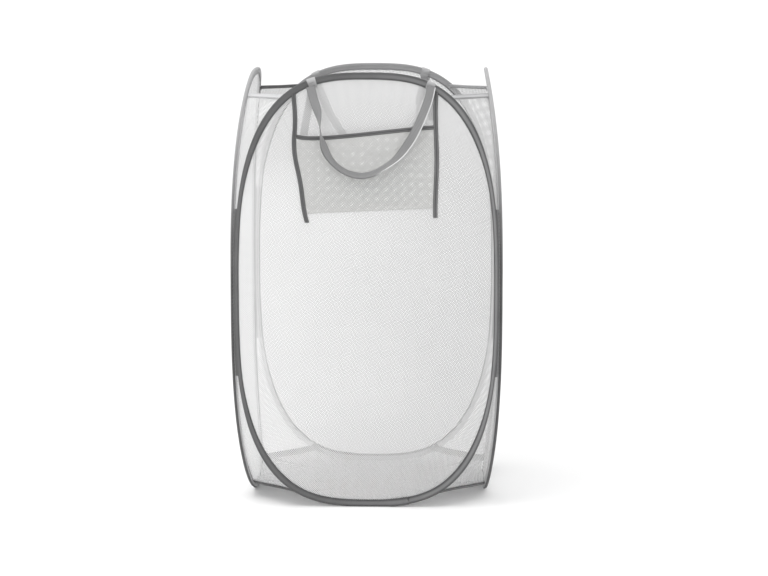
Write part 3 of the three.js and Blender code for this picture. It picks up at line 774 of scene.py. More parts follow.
def thread_finish(name):
    """Twisted sewing thread, grey or white."""
    colours = sizes("colours")
    base = colours.pocket if name == "white_thread" else colours.thread
    thread = Shader(name, 0.5, sheen_weight=0.3)
    along, across, _ = thread.cloth()
    twist = (along * (TURN / TWIST_PITCH) + across * (TURN / STRAND_PITCH)).sine()
    tone = twist * 0.3 + 0.35 + thread.noise(160.0) * 0.3
    thread.finish(thread.shade(tone, base, 0.7, 1.5), twist, relief=0.00008)


def steel_finish(name):
    """Drawn spring steel wire, with fine streaks."""
    wire = Shader(name, 0.3, metallic=1.0)
    streaks = wire.noise(420.0, stretched=(1, 1, 0.08))
    wire.feed(wire.surface.inputs["Roughness"], streaks.rise(0.2, 0.8, 0.22, 0.42))
    wire.finish(wire.shade(streaks, sizes("colours").steel, 0.85, 1.1), streaks, relief=0.00002)


def zinc_finish(name):
    """Dull zinc of the crimped ferrules, with small dents."""
    zinc = Shader(name, 0.45, metallic=1.0)
    dents = zinc.noise(900.0, 4.0)
    zinc.finish(zinc.shade(dents, sizes("colours").zinc, 0.8, 1.15), dents, relief=0.00006)


def studio_finish(name):
    """Plain matt floor and backdrop, with a faint painted glow that lightens the shadows on it."""
    # Painted glow: a faint constant emission lifts the floor's shadows.
    paper = Shader(name, 0.9, specular_ior_level=0.1, emission_color=(1, 1, 1, 1), emission_strength=0.05)
    paper.finish(paper.shade(paper.noise(2.0), sizes("colours").floor, 0.995, 1.005))


FINISHES = {
    net_finish: ("wall_net", "pocket_net", "floor_net"),
    tape_finish: ("binding_tape", "faded_tape", "rear_tape", "pale_tape"),
    webbing_finish: ("ribbed_webbing", "anchor_webbing"),
    thread_finish: ("sewing_thread", "white_thread"),
    steel_finish: ("drawn_wire",),
    zinc_finish: ("dull_zinc",),
    studio_finish: ("studio_paper",),
}


def finish(name):
    """The named material, made the first time that it is asked for."""
    if name not in bpy.data.materials:
        make = next(make for make, names in FINISHES.items() if name in names)
        make(name)
    return bpy.data.materials[name]


TAPE_STEPS = 400
LEG_COLUMNS = (0, 0.22, 0.44, 0.64, 0.82)
FOLD_TURNS = 9
SHOULDER_SHARE = 1.5
ROW_INSET = 0.0014
BAR_INSET = 0.0004
LAP_PLACE = 0.047
LAP_RAMP = 0.4
LAP_CLEARANCE = 0.00008
LAP_BAR_STITCHES = 18
LAP_BAR_LENGTH = 0.0030
TAPE_RIPPLE = (0.05, 1)
LEG_WAVE = 0.0003
FOLD_WAVE = 0.0001


def tape_profile(leg, radius, leg_half):
    """A folded tape's section, from the end of its inner leg round the wire to the end of its outer one."""
    leg_out = [-leg * (1 - part) for part in LEG_COLUMNS]
    shoulder = np.minimum(leg, SHOULDER_SHARE * radius)
    leg_in = [leg_half + (radius - leg_half) * smoothstep(-shoulder, 0, out) for out in leg_out]
    turns = np.linspace(math.pi / 2, -math.pi / 2, FOLD_TURNS)
    outs = [*leg_out, *[radius * math.cos(turn) for turn in turns], *leg_out[::-1]]
    fold_in = [radius * math.sin(turn) for turn in turns]
    inwards = [*leg_in, *fold_in, *[-inward for inward in leg_in[::-1]]]
    return np.stack(outs, axis=1), np.stack(inwards, axis=1)


def tape_stitches(side, points, out, inward, leg, leg_face):
    """Rows of stitches along both legs of a hoop's tape, with a bar of them across each leg's end."""
    half_bar = unit(points[-1] - points[-2]) * LAP_BAR_LENGTH / 2
    bar_out = np.linspace(BAR_INSET - leg[-1], 0, LAP_BAR_STITCHES)[None]
    rows = []
    for way in (1, -1):
        row_in = way * leg_face
        row = place(points, out, inward, (ROW_INSET - leg)[:, None], row_in[:, None])[:, 0]
        ways = way * inward @ side.turn.T
        rows.append(row_of_stitches(side.world(row), ways))
        bar = place(points[-1:], out[-1:], inward[-1:], bar_out, np.full_like(bar_out, row_in[-1]))[0]
        bar_ways = np.repeat(ways[-1:], LAP_BAR_STITCHES, axis=0)
        rows.append((side.world(bar - half_bar), side.world(bar + half_bar), bar_ways))
    sew(f"{side.name}_tape_stitches", rows, body=side.body)


def hoop_tape(side):
    """The tape round one hoop, from under its lap all the way round to over it, and its stitches."""
    hoops = sizes("hoops")
    middle = side.length_at(LAP_PLACE, -1)
    whole = side.frames_from(0, 0, 1)[-1]
    start, end = middle - hoops.lap / 2, middle + whole + hoops.lap / 2
    at, points, out, inward, _ = side.frames_from(start, end, TAPE_STEPS)
    lapped = smoothstep(end - (1 + LAP_RAMP) * hoops.lap, end - hoops.lap, at)
    over = lapped * (hoops.cloth_thickness + LAP_CLEARANCE)
    wave = ripple(side.world(points), *TAPE_RIPPLE)
    half_cloth = hoops.cloth_thickness / 2
    leg = leg_at(points[:, 2] - CENTRE_HEIGHT) + LEG_WAVE * wave + over / 2
    radius = hoops.fold_radius - half_cloth + over - FOLD_WAVE * np.abs(wave)
    leg_half = hoops.leg_half - half_cloth + over + FOLD_WAVE * wave
    grid = side.world(place(points, out, inward, *tape_profile(leg, radius, leg_half)))
    tape = add_strip(f"{side.name}_tape", grid, hoops.cloth_thickness, side.tape)
    fit(tape, "grey_tape", f"{side.name}_hoop_tape", body=side.body)
    tape_stitches(side, points, out, inward, leg, leg_half + half_cloth)


WALL_STEPS = 360
RING_SHARES = (0.985, 0.965, 0.94, 0.91, 0.87, 0.82, 0.76, 0.69, 0.61, 0.52, 0.42, 0.32, 0.21, 0.10, 0.0)
WALL_SLACK = ((0.11, 2, 0.0022), (0.045, 3, 0.0006))
BRIM_FROM = 0.75
BRIM_SLACK_SHARE = 0.25
TUCK_SHARE = 0.3
SEATED_FROM = 0.93
PUCKERED = (0.80, 0.985)
PUCKER_LENGTH = 0.017
PUCKER_DEPTH = 0.0005
PUCKER_RIPPLE = (0.08, 4)
PUCKER_DRIFT = 3


def wall_place(side, across, level):
    """The place of a side's mesh wall, with slack and pulls that fade towards its hoop."""
    ratio = np.hypot(across / side.half_width, level / HOOP_HALF_HEIGHT)
    loose = mix(BRIM_SLACK_SHARE, 1, 1 - smoothstep(BRIM_FROM, 1, ratio))
    places = np.stack([across, np.full_like(across, side.slack_depth), level], axis=-1)
    inward = wall_inward(side, across, level) + slack(places, WALL_SLACK) * loose
    return np.stack([across, inward, CENTRE_HEIGHT + level], axis=-1)


def oval_area(half_width, half_height):
    """The area inside a hoop's rounded outline."""
    power = sizes("hoops").squareness
    return 4 * half_width * half_height * math.gamma(1 + 1 / power) ** 2 / math.gamma(1 + 2 / power)


def mesh_wall(side):
    """A side's mesh, sewn in between the legs of its tape and puckered a little along the seam."""
    points, out, inward = side.frames(WALL_STEPS)
    leg = leg_at(points[:, 2] - CENTRE_HEIGHT)
    outs = np.stack([-TUCK_SHARE * leg, -leg], axis=1)
    tucked, brim = place(points, out, inward, outs, np.zeros_like(outs)).transpose(1, 0, 2)
    pucker = TURN * running_length(brim) / PUCKER_LENGTH + PUCKER_DRIFT * ripple(brim, *PUCKER_RIPPLE)
    rings = [tucked, brim]
    for part in RING_SHARES:
        ring = wall_place(side, brim[:, 0] * part, (brim[:, 2] - CENTRE_HEIGHT) * part)
        ring[:, 1] = mix(ring[:, 1], brim[:, 1], smoothstep(SEATED_FROM, 1, part))
        ring[:, 1] += np.sin(pucker) * PUCKER_DEPTH * smoothstep(*PUCKERED, part)
        rings.append(ring)
    places, faces = gathered(np.stack(rings, axis=1), looped=True)
    cos, sin = math.cos(side.grain), math.sin(side.grain)
    laid = flat_cloth(places[:, 0] * cos - places[:, 2] * sin, places[:, 0] * sin + places[:, 2] * cos)
    wall = add_piece(f"{side.name}_mesh", side.world(places), faces, "wall_net", laid)
    fit(wall, "white_mesh", f"{side.name}_mesh_wall", body=side.body)
    half_width, half_height = np.abs(tucked[:, 0]).max(), HOOP_HALF_HEIGHT - TUCK_SHARE * leg.max()
    2 * half_width
    2 * half_height
    oval_area(half_width, half_height)


BEND_REACH = 0.022
SEAM_BEND_REACH = 0.003
CORNER_COLUMNS = 13
GUSSET_STEPS = 34
GUSSET_CROSSINGS = ((0.74, 0.0017), (0.62, 0.0020), (0.45, 0.0023))
GUSSET_LEAVES_AT = 0.1
GUSSET_CLEARANCE = 0.0002
GUSSET_RIPPLE = (0.05, 5)
GUSSET_LOOSE = 0.0009
HOLLOW_WIDTH = 0.15
LOOSE_WIDTH = 0.06
IN_FOLD_SHARE = 0.3


def hoop_rows(half_width, levels, offsets):
    """Places beside a hoop at levels above its middle, each so far out and so far inward."""

    def edge(level):
        return np.stack([oval(half_width, level / HOOP_HALF_HEIGHT), lean_at(level), level], axis=-1)

    nearby = 0.0004
    along = unit(edge(levels + nearby) - edge(levels - nearby))
    out = unit(np.cross([0, 1, 0], along))
    return place(edge(levels), out, np.cross(along, out), offsets[..., 0], offsets[..., 1])


def corner_rows(levels, offsets):
    """The same beside both hoops of the right and outer corner, the front or rear one first."""
    near = hoop_rows(FRONT_HALF_WIDTH, levels, offsets)
    far = hoop_rows(SIDE_HALF_WIDTH, levels, offsets)
    near = np.stack([near[..., 0], FRONT_PLANE - near[..., 1], near[..., 2]], axis=-1)
    far = np.stack([SIDE_PLANE - far[..., 1], far[..., 0], far[..., 2]], axis=-1)
    return near, far


def corner_grid(levels):
    """The cloth across a corner, row by row: from the inner leg of one tape to that of the other."""
    leg = leg_at(levels)
    crossings = (*GUSSET_CROSSINGS, (GUSSET_LEAVES_AT, sizes("hoops").fold_radius + GUSSET_CLEARANCE))
    offsets = [np.stack([-part * leg, np.full_like(leg, beside)], axis=1) for part, beside in crossings]
    near, far = corner_rows(levels, np.stack(offsets, axis=1))
    from_near, to_far = near[:, -1:], far[:, -1:]
    part = np.linspace(0, 1, CORNER_COLUMNS)[1:-1][None, :, None]
    chord = mix(from_near, to_far, part)
    width = np.linalg.norm(to_far - from_near, axis=-1, keepdims=True)
    depth = 4 * part * (1 - part) * sizes("cloth").hollow * width / HOLLOW_WIDTH
    loose = ripple(chord, *GUSSET_RIPPLE)[..., None] * GUSSET_LOOSE * np.sin(math.pi * part)
    loose = loose * np.minimum(width / LOOSE_WIDTH, 1)
    return np.concatenate([near, chord - OUTWARD * (depth + loose), far[:, ::-1]], axis=1)


def gusset_edge(up):
    """The level of a gusset's edge above or below the middle, and the width of the tape along it."""
    cloth = sizes("cloth")
    if up > 0:
        return CENTRE_HEIGHT - cloth.rim_drop, cloth.rim_width
    return CENTRE_HEIGHT - cloth.floor_tape_height, cloth.floor_tape_width


def gusset(corner, part_name, up):
    """The mesh across one corner, from the upright seam to inside the fold of its tape."""
    level, width = gusset_edge(up)
    levels = np.linspace(sizes("hoops").seam_length / 2, level + IN_FOLD_SHARE * width, GUSSET_STEPS)
    grid = corner.world(corner_grid(levels), up)
    across = np.stack([running_length(row) - running_length(row)[-1] / 2 for row in grid])
    laid = flat_cloth(across, grid[..., 2])
    net = add_piece(f"{corner.name}_{part_name}_mesh", grid, grid_faces(*grid.shape[:2]), "wall_net", laid)
    fit(net, "white_mesh", f"{corner.name}_{part_name}_gusset")
    widest = float(running_length(grid[-1])[-1])
    tall = float(running_length(grid[:, grid.shape[1] // 2])[-1])
    grid_area(grid)
    corner.bend(net, BEND_REACH)


CORNER_TAPE_STEPS = 46
CORNER_TAPE_ROWS = np.array([-0.5, 0.0, 0.42])
CORNER_TAPE_CLEARANCE = 0.0004
CORNER_TAPE_RIPPLE = (0.03, 6)
CORNER_TAPE_WAVE = 0.0004
CORNER_STITCH_SHARE = 0.25
CROWN_SHARE = 0.07


def corner_tape_grid(level, width):
    """Three rows between a corner tape's two legs, from the legs' ends up to its fold."""
    rows = corner_grid(level + width * CORNER_TAPE_ROWS)[:, 1:-1]
    return np.stack([
        resample(row, np.linspace(0, running_length(row)[-1], CORNER_TAPE_STEPS)) for row in rows
    ])


def corner_tape(corner, part_name, up, node):
    """A tape folded over the edge of a gusset, its ends on the inner legs of the two hoops' tapes."""
    thickness = sizes("hoops").cloth_thickness
    half = thickness / 2 + CORNER_TAPE_CLEARANCE
    level, width = gusset_edge(up)
    if up > 0 and corner.back > 0:
        width = sizes("cloth").rear_rim_width
    grid = corner_tape_grid(level, width)
    normals = grid_normals(grid)
    crown = grid[2] + unit(grid[2] - grid[1]) * width * CROWN_SHARE
    strip = [grid + normals * half, crown[None], (grid - normals * half)[::-1]]
    strip = np.concatenate(strip).transpose(1, 0, 2)
    wave = ripple(strip, *CORNER_TAPE_RIPPLE)[..., None] * np.array([0, 0, CORNER_TAPE_WAVE])
    material = corner.rim_tape if up > 0 else "binding_tape"
    tape = add_strip(f"{corner.name}_{part_name}", corner.world(strip + wave, up), thickness, material)
    fit(tape, "grey_tape", f"{corner.name}_{node}")
    corner.bend(tape, BEND_REACH)
    seam = grid[0] * (1 - CORNER_STITCH_SHARE) + grid[1] * CORNER_STITCH_SHARE
    stitched = []
    for face in (normals[0], -normals[0]):
        row = seam + face * (half + thickness / 2)
        stitched.append(row_of_stitches(corner.world(row, up), face * corner.signs(up)))
    corner.bend(sew(f"{corner.name}_{part_name}_stitches", stitched), BEND_REACH)


CORD_SIDES = 12


def add_cord(name, centres, wide_way, half_widths, radius, material):
    """A closed cord along a row of points, as wide one way as given and round where that is its radius."""
    along = unit(np.gradient(centres, axis=0))
    other = unit(np.cross(along, wide_way))
    turns = np.linspace(0, TURN, CORD_SIDES, endpoint=False)
    wide = wide_way * half_widths[:, None, None] * np.cos(turns)[:, None]
    rings = centres[:, None] + wide + other[:, None] * radius * np.sin(turns)[:, None]
    run, around = np.meshgrid(running_length(centres), turns * radius, indexing="ij")
    laid = np.stack([run, around, turns[None] / TURN + 0 * around], axis=-1)
    return add_piece(name, rings, tube_faces(len(centres), CORD_SIDES), material, laid)


SEAM_STEPS = 90
SEAM_SPREAD = 0.0004
WHIP_PITCH = 0.0052
WHIP_SLANT = 0.0018
WHIP_RADIUS = 0.0003
WHIP_TURN = math.radians(38)
TO_FAR = np.array([1, -1, 0]) / math.sqrt(2)


def whip_stitches(corner, levels, near, far):
    """Slanting stitches over a corner's piping, from one hoop's tape to the other's on both faces."""
    hoops = sizes("hoops")
    reach_up = hoops.seam_length / 2
    at = np.arange(-reach_up + WHIP_PITCH, reach_up - WHIP_PITCH, WHIP_PITCH)
    starts, ends = between(at, levels, near), between(at + WHIP_SLANT, levels, far)
    aside = TO_FAR * math.sin(WHIP_TURN) * hoops.fold_radius
    rows = []
    for face in (OUTWARD, -OUTWARD):
        lift = face * math.cos(WHIP_TURN) * hoops.fold_radius
        ways = np.repeat(face[None], len(at), axis=0) * corner.signs()
        rows.append((corner.world(starts + lift + aside), corner.world(ends + lift - aside), ways))
    thread = sew(f"{corner.name}_seam_stitches", rows, radius=WHIP_RADIUS, arch=WHIP_RADIUS)
    corner.bend(thread, SEAM_BEND_REACH)


def corner_seam(corner):
    """The upright seam of a corner: piping between the two tapes, and the stitches over it."""
    hoops = sizes("hoops")
    reach_up = hoops.seam_length / 2
    levels = np.linspace(-reach_up, reach_up, SEAM_STEPS)
    near, far = (rows[:, 0] for rows in corner_rows(np.abs(levels), np.zeros((SEAM_STEPS, 1, 2))))
    near[:, 2] = far[:, 2] = levels
    radius = hoops.seam_diameter / 2
    gap = np.linalg.norm(far - near, axis=1) / 2 - hoops.fold_radius
    material = "rear_tape" if corner.back > 0 else "binding_tape"
    piping = add_cord(
        f"{corner.name}_seam_piping", corner.world((near + far) / 2), TO_FAR * corner.signs(),
        np.maximum(radius, gap + SEAM_SPREAD), radius, material,
    )
    fit(piping, "grey_tape", f"{corner.name}_corner_seam", body=corner.seam_body)
    whip_stitches(corner, levels, near, far)


FOOT_STEPS = 33
FLOOR_SHARES = (1.0, 0.985, 0.96, 0.93, 0.89, 0.84, 0.78, 0.71, 0.63, 0.54, 0.44, 0.33, 0.22, 0.11)
FLOOR_SLACK = ((0.09, 7, 0.0030), (0.035, 8, 0.0008))
FLOOR_SLACK_SHARE = 0.9
FLOOR_EDGE_STEP = 0.0005
FLOOR_CLEARANCE = 0.0006
FLOOR_TAPE_CLEARANCE = 0.0008


def floor_edge(side):
    """The floor's edge along one hoop's foot, from the middle of one corner to that of the next."""
    hoops = sizes("hoops")
    level = gusset_edge(-1)[0]
    corner = corner_grid(level + FLOOR_EDGE_STEP * np.array([-1, 0, 1]))[1, 3:-3]
    corner = corner - OUTWARD * (hoops.leg_half + FLOOR_TAPE_CLEARANCE)
    middle = len(corner) // 2
    to_hoop = corner[middle::-1] if side.name in ("front", "rear") else corner[middle:]
    widest = oval(side.half_width, level / HOOP_HALF_HEIGHT)
    across = np.linspace(-widest, widest, FOOT_STEPS)
    height = oval(HOOP_HALF_HEIGHT, across / side.half_width)
    inward = lean_at(height) + hoops.fold_radius + FLOOR_CLEARANCE
    foot = side.world(np.stack([across, inward, CENTRE_HEIGHT - height + sizes("cloth").floor_lift], axis=1))
    first, last = (CORNERS[name].world(to_hoop, -1) for name in side.ends)
    return np.concatenate([first, foot, last[::-1]])


def floor_quarter(side):
    """A quarter of the floor's mesh, from one hoop's foot and the corners beside it to the middle."""
    middle = sizes("cloth").floor_height
    edge = floor_edge(side)
    part = np.array([*FLOOR_SHARES, 0.0])
    grid = edge[:, None] * np.stack([part, part, np.ones_like(part)], axis=1)
    grid[..., 2] = mix(middle, edge[:, 2:], part ** 3)
    grid[..., 2] += slack(grid * np.array([1, 1, 0]), FLOOR_SLACK) * (1 - part ** 6) * FLOOR_SLACK_SHARE
    places, faces = gathered(grid)
    laid = flat_cloth(places[:, 0], places[:, 1])
    quarter = add_piece(f"{side.name}_floor_mesh", places, faces, "floor_net", laid)
    fit(quarter, "white_mesh", "floor_panel", body=side.body)
    wide, deep = np.ptp(places @ side.turn, axis=0)[:2]
    grid_area(grid)
    anchor_at = side.world([0, sizes("hoops").tip_lean, 0])
    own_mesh(quarter)


POCKET_COLUMNS = 64
POCKET_ROWS = 30
SEAM_STAND_OFF = 0.0006
BAND_THICKNESS = 0.0012
BAND_COLUMNS = 7
BAND_STEPS = 70
BAND_TUCK_SHARE = 0.98
HEM_STEPS = 90
HEM_CLEARANCE = 0.0004
RIGHT_LAP_SHARE = 0.4
MOUTH_SAG = 0.0075
FOOT_RISE = 0.008
FOOT_THREAD_RADIUS = THREAD_RADIUS * 1.4
POCKET_LOOSE = 0.0009
POCKET_LOOSE_TURNS = (7.5, 2.2)
TAPER_POWER = 1.5
LEFT_WAVE = 0.0011
LEFT_WAVE_LENGTH = 0.0135
RIGHT_WAVE = 0.0009
RIGHT_WAVE_LENGTH = 0.021


def pocket_edge(side, height):
    """How far across a pocket tape's middle lies at a height: the left one runs in towards its foot."""
    pocket = sizes("pocket")
    below = FRAME_HEIGHT - pocket.mouth_drop - height
    if side > 0:
        return pocket.right + RIGHT_WAVE * np.sin(below / RIGHT_WAVE_LENGTH)
    down = np.maximum(0, below) / (pocket.depth + pocket.tape_lap)
    wave = LEFT_WAVE * np.sin(below / LEFT_WAVE_LENGTH)
    return pocket.taper * down ** TAPER_POWER - pocket.left - wave


def mouth_height(part):
    """Height of the pocket's mouth, a share of the way across. It sags left of the middle."""
    pocket = sizes("pocket")
    sag = MOUTH_SAG * np.sin(math.pi * np.sqrt(part)) * np.sqrt(1 - part)
    return FRAME_HEIGHT - pocket.mouth_drop + pocket.mouth_rise * part - sag


def off_wall(across, height, stand_off):
    """A place in front of the front wall."""
    front = SIDES["front"]
    place_on = wall_place(front, across, height - CENTRE_HEIGHT)
    place_on[..., 1] -= stand_off
    return front.world(place_on)


def pocket_stand_off(part, rise):
    """How far the pocket stands out: most at the middle of its mouth, and slack below it."""
    swell = np.sin(math.pi * part) * np.sin(rise * math.pi / 2)
    turn = POCKET_LOOSE_TURNS[0] * part + POCKET_LOOSE_TURNS[1] * rise
    loose = POCKET_LOOSE * np.sin(turn) * np.sin(math.pi * part) * rise
    return SEAM_STAND_OFF + sizes("pocket").bulge * swell + loose


def pocket_strip(name, middle, width, node):
    """A flat tape along the pocket with a row of stitches near each edge."""
    grid = np.stack([middle(edge * width) for edge in np.linspace(-0.5, 0.5, BAND_COLUMNS)], axis=1)
    strip = add_strip(name, grid, BAND_THICKNESS, "binding_tape")
    fit(strip, "grey_tape", node, body="front_side")
    normals = grid_normals(grid)
    if normals[..., 1].mean() > 0:
        normals = -normals
    lifted = grid + normals * BAND_THICKNESS / 2
    rows = [row_of_stitches(lifted[:, column], normals[:, column]) for column in (1, BAND_COLUMNS - 2)]
    sew(f"{name}_stitches", rows, body="front_side")


def pocket_tape(side, name, node):
    """One of the two tapes that run down the wall from the hoop to just below the pocket."""
    pocket, hoops = sizes("pocket"), sizes("hoops")
    centre = -pocket.left if side < 0 else pocket.right
    hoop_level = oval(HOOP_HALF_HEIGHT, centre / FRONT_HALF_WIDTH)
    top = CENTRE_HEIGHT + hoop_level - (hoops.arc_width - hoops.fold_radius) * BAND_TUCK_SHARE
    lap = pocket.tape_lap * (1 if side < 0 else RIGHT_LAP_SHARE)
    height = np.linspace(FRAME_HEIGHT - pocket.mouth_drop - pocket.depth - lap, top, BAND_STEPS)

    def middle(aside):
        return off_wall(pocket_edge(side, height) + aside, height, SEAM_STAND_OFF + BAND_THICKNESS / 2)

    pocket_strip(name, middle, pocket.tape_width, node)


def pocket_hem(name, node):
    """The dark tape along the pocket's mouth."""
    hem_width = sizes("pocket").hem_width
    part = np.linspace(0.0, 1.0, HEM_STEPS)

    def middle(above):
        height = mouth_height(part) + hem_width / 2 + above
        across = mix(pocket_edge(-1, height), pocket_edge(1, height), part)
        return off_wall(across, height, pocket_stand_off(part, 1.0) + HEM_CLEARANCE)

    pocket_strip(name, middle, hem_width, node)


def pocket_panel(name, node):
    """The pocket's mesh, sewn to the wall along its foot."""
    pocket = sizes("pocket")
    part, rise = np.meshgrid(np.linspace(0, 1, POCKET_COLUMNS), np.linspace(0, 1, POCKET_ROWS))
    foot_height = FRAME_HEIGHT - pocket.mouth_drop - pocket.depth + FOOT_RISE * part
    height = mix(foot_height, mouth_height(part), rise)
    across = mix(pocket_edge(-1, height), pocket_edge(1, height), part)
    grid = off_wall(across, height, pocket_stand_off(part, rise))
    panel = add_piece(name, grid, grid_faces(*grid.shape[:2]), "pocket_net", flat_cloth(across, height))
    fit(panel, "white_mesh", node, body="front_side")
    width = float(np.mean([running_length(row)[-1] for row in grid]))
    foot = grid[0] - np.array([0, HEM_CLEARANCE, 0])
    row = row_of_stitches(foot, np.tile([0.0, -1.0, 0.0], (len(foot), 1)))
    sew("pocket_foot_stitches", [row], "white_mesh", "white_thread", FOOT_THREAD_RADIUS, body="front_side")


ROUTE_SHARES = (
    (0, 0), (0.03, 0.15), (0.067, 0.31), (0.1, 0.6), (0.148, 0.775), (0.21, 0.880), (0.285, 0.952),
    (0.36, 0.990), (0.43, 1), (0.50, 0.985), (0.60, 0.918), (0.71, 0.81), (0.81, 0.64), (0.876, 0.484),
    (0.933, 0.305), (0.975, 0.15), (1, 0),
)
TWIST_SHARES = (
    (0, 0), (0.06, 0), (0.20, 1), (0.28, 1.6), (0.36, 1.35), (0.46, 1.42), (0.60, 1.35), (0.74, 1.85),
    (0.9, 2), (1, 2),
)
STAND_OFF_SHARE = 0.65
ROUTE_STEPS = 24
HANDLE_STEPS = 150
WEBBING_COLUMNS = 9
WEBBING_SHARES = np.linspace(-0.5, 0.5, WEBBING_COLUMNS)
CUPPING = 0.0006
WIDTH_RIPPLE = (0.02, 9)
WIDTH_WAVE = 0.03


def slope(before, here, after, gap_before, gap_after):
    """The way that a curve leaves the middle one of three points, by the gaps between them."""
    whole = (after - before) / (gap_before + gap_after)
    return (here - before) / gap_before - whole + (after - here) / gap_after


def smooth_route(points, steps):
    """Evenly spaced places on a smooth curve through points, which turns gently where they lie close."""
    knots = np.vstack([2 * points[0] - points[1], points, 2 * points[-1] - points[-2]])
    places = []
    for i in range(1, len(knots) - 2):
        before, start, end, after = knots[i - 1:i + 3]
        gaps = np.sqrt(np.linalg.norm(np.diff(knots[i - 1:i + 3], axis=0), axis=1))
        leave = slope(before, start, end, gaps[0], gaps[1]) * gaps[1]
        arrive = slope(start, end, after, gaps[1], gaps[2]) * gaps[1]
        part = np.linspace(0, 1, ROUTE_STEPS, endpoint=False)[:, None]
        places.append(
            start + leave * part
            + (3 * (end - start) - 2 * leave - arrive) * part ** 2
            + (2 * (start - end) + leave + arrive) * part ** 3
        )
    route = np.vstack([*places, points[-1:]])
    return resample(route, np.linspace(0, running_length(route)[-1], steps))


def twist_at(part):
    """How far the webbing is turned about its own length, along the handle, up to half a turn."""
    known, turns = np.array(TWIST_SHARES).T
    step = np.clip(np.searchsorted(known, part) - 1, 0, len(known) - 2)
    rise = smoothstep(known[step], known[step + 1], part)
    return math.pi / 2 * mix(turns[step], turns[step + 1], rise)


def handle(name):
    """A handle's loop of webbing, hanging and half turned in front of its anchors."""
    webbing = sizes("handles")
    side = SIDES[name]
    pivot = next(joint for joint in frame["joints"] if joint["name"] == f"{name}_handle_swing")["pos_m"]
    across, drop = np.array(ROUTE_SHARES).T
    route = np.stack([
        mix(-webbing.left, webbing.right, across),
        FRONT_PLANE - abs(pivot[1]) - webbing.stand_off * smoothstep(0, STAND_OFF_SHARE, drop),
        pivot[2] - webbing.drop * drop,
    ], axis=1)
    points = smooth_route(route, HANDLE_STEPS)
    along = unit(np.gradient(points, axis=0))
    flat = unit(np.cross([0, 1, 0], along))
    turn = twist_at(np.linspace(0, 1, HANDLE_STEPS))[:, None]
    widthwise = flat * np.cos(turn) + np.cross(along, flat) * np.sin(turn)
    cupped = np.cross(along, widthwise)[:, None] * (CUPPING * (4 * WEBBING_SHARES ** 2 - 0.5))[:, None]
    wave = 1 + WIDTH_WAVE * ripple(points, *WIDTH_RIPPLE)[:, None, None]
    across = widthwise[:, None] * (WEBBING_SHARES * webbing.width)[:, None] * wave
    grid = points[:, None] + across + cupped
    loop = add_strip(f"{name}_handle_loop", side.world(grid), webbing.thickness, "ribbed_webbing")
    fit(loop, "grey_webbing", f"{name}_handle", body=f"{name}_loop")


TAIL_STEPS = 16
TAIL_CLEARANCE = 0.0012
TAIL_SLANT_POWER = 0.8
TAIL_TILT_SHARE = 0.15
TAIL_CURL = 0.0022
TAIL_BOW = 0.0012
ANCHOR_CLEARANCE = 0.0003
ANCHOR_LEG_PAST = 0.001
ANCHOR_ROW_SHARES = (0.4, 0.6)
ANCHOR_STITCH_INSET = 0.0012
ANCHOR_STITCH_PITCH = 0.0019
ANCHOR_THREAD_RADIUS = 0.00028
ANCHOR_STITCH_ARCH = 0.00015


def loose_tail(side, end):
    """The rows of an anchor's loose end, which hangs to one side behind the wall and curls away from it."""
    webbing = sizes("handles")
    drop = np.linspace(0, 1, TAIL_STEPS + 1)[1:, None]
    across = end[None, :, 0] - webbing.tail_slant * drop ** TAIL_SLANT_POWER
    middle = end[:, 2].mean()
    height = middle - webbing.tail_length * drop + TAIL_TILT_SHARE * (end[None, :, 2] - middle)
    start = end[:, 1].mean() - wall_inward(side, end[:, 0], end[:, 2] - CENTRE_HEIGHT).mean()
    clear = mix(start, TAIL_CLEARANCE, drop ** 0.5)
    curl = TAIL_CURL * drop ** 2 + TAIL_BOW * np.sin(math.pi * drop)
    behind = wall_inward(side, across, height - CENTRE_HEIGHT) + clear + curl
    return np.stack([across, behind, height], axis=-1)


def anchor_stitches(name, side, leg):
    """Two rows of stitches across the front leg of an anchor."""
    ways = np.tile([0.0, -1.0, 0.0], (WEBBING_COLUMNS, 1)) @ side.turn.T
    lift = np.array([0, -sizes("handles").anchor_thickness / 2, 0])
    rows = []
    for column, part in zip((0, 2), ANCHOR_ROW_SHARES):
        row = mix(leg[column], leg[column + 2], part) + lift
        ends = ANCHOR_STITCH_INSET, running_length(row)[-1] - ANCHOR_STITCH_INSET
        inner = resample(row, np.linspace(*ends, WEBBING_COLUMNS))
        rows.append(row_of_stitches(side.world(inner), ways, ANCHOR_STITCH_PITCH))
    sew(name, rows, "grey_webbing", radius=ANCHOR_THREAD_RADIUS, arch=ANCHOR_STITCH_ARCH, body=side.body)


def anchor(name, node, piece_name, across, tail):
    """Webbing folded over a hoop's tape and sewn through, which may run on as a tail inside the wall."""
    hoops, webbing = sizes("hoops"), sizes("handles")
    side = SIDES[name]
    middle = side.length_at(across, 1)
    half_run = webbing.width / 2
    _, points, out, inward, _ = side.frames_from(middle + half_run, middle - half_run, WEBBING_COLUMNS)
    over = webbing.anchor_thickness / 2 + ANCHOR_CLEARANCE
    leg = leg_at(points[:, 2] - CENTRE_HEIGHT) + ANCHOR_LEG_PAST
    radius, leg_half = (np.full_like(leg, size + over) for size in (hoops.fold_radius, hoops.leg_half))
    wrap = place(points, out, inward, *tape_profile(leg, radius, leg_half))[:, ::-1].transpose(1, 0, 2)
    front_leg = wrap[:len(LEG_COLUMNS)]
    if tail:
        wrap = np.concatenate([wrap, loose_tail(side, wrap[-1])])
    piece = add_strip(piece_name, side.world(wrap), webbing.anchor_thickness, "anchor_webbing")
    fit(piece, "grey_webbing", node, body=side.body)
    anchor_stitches(f"{piece_name}_stitches", side, front_leg)


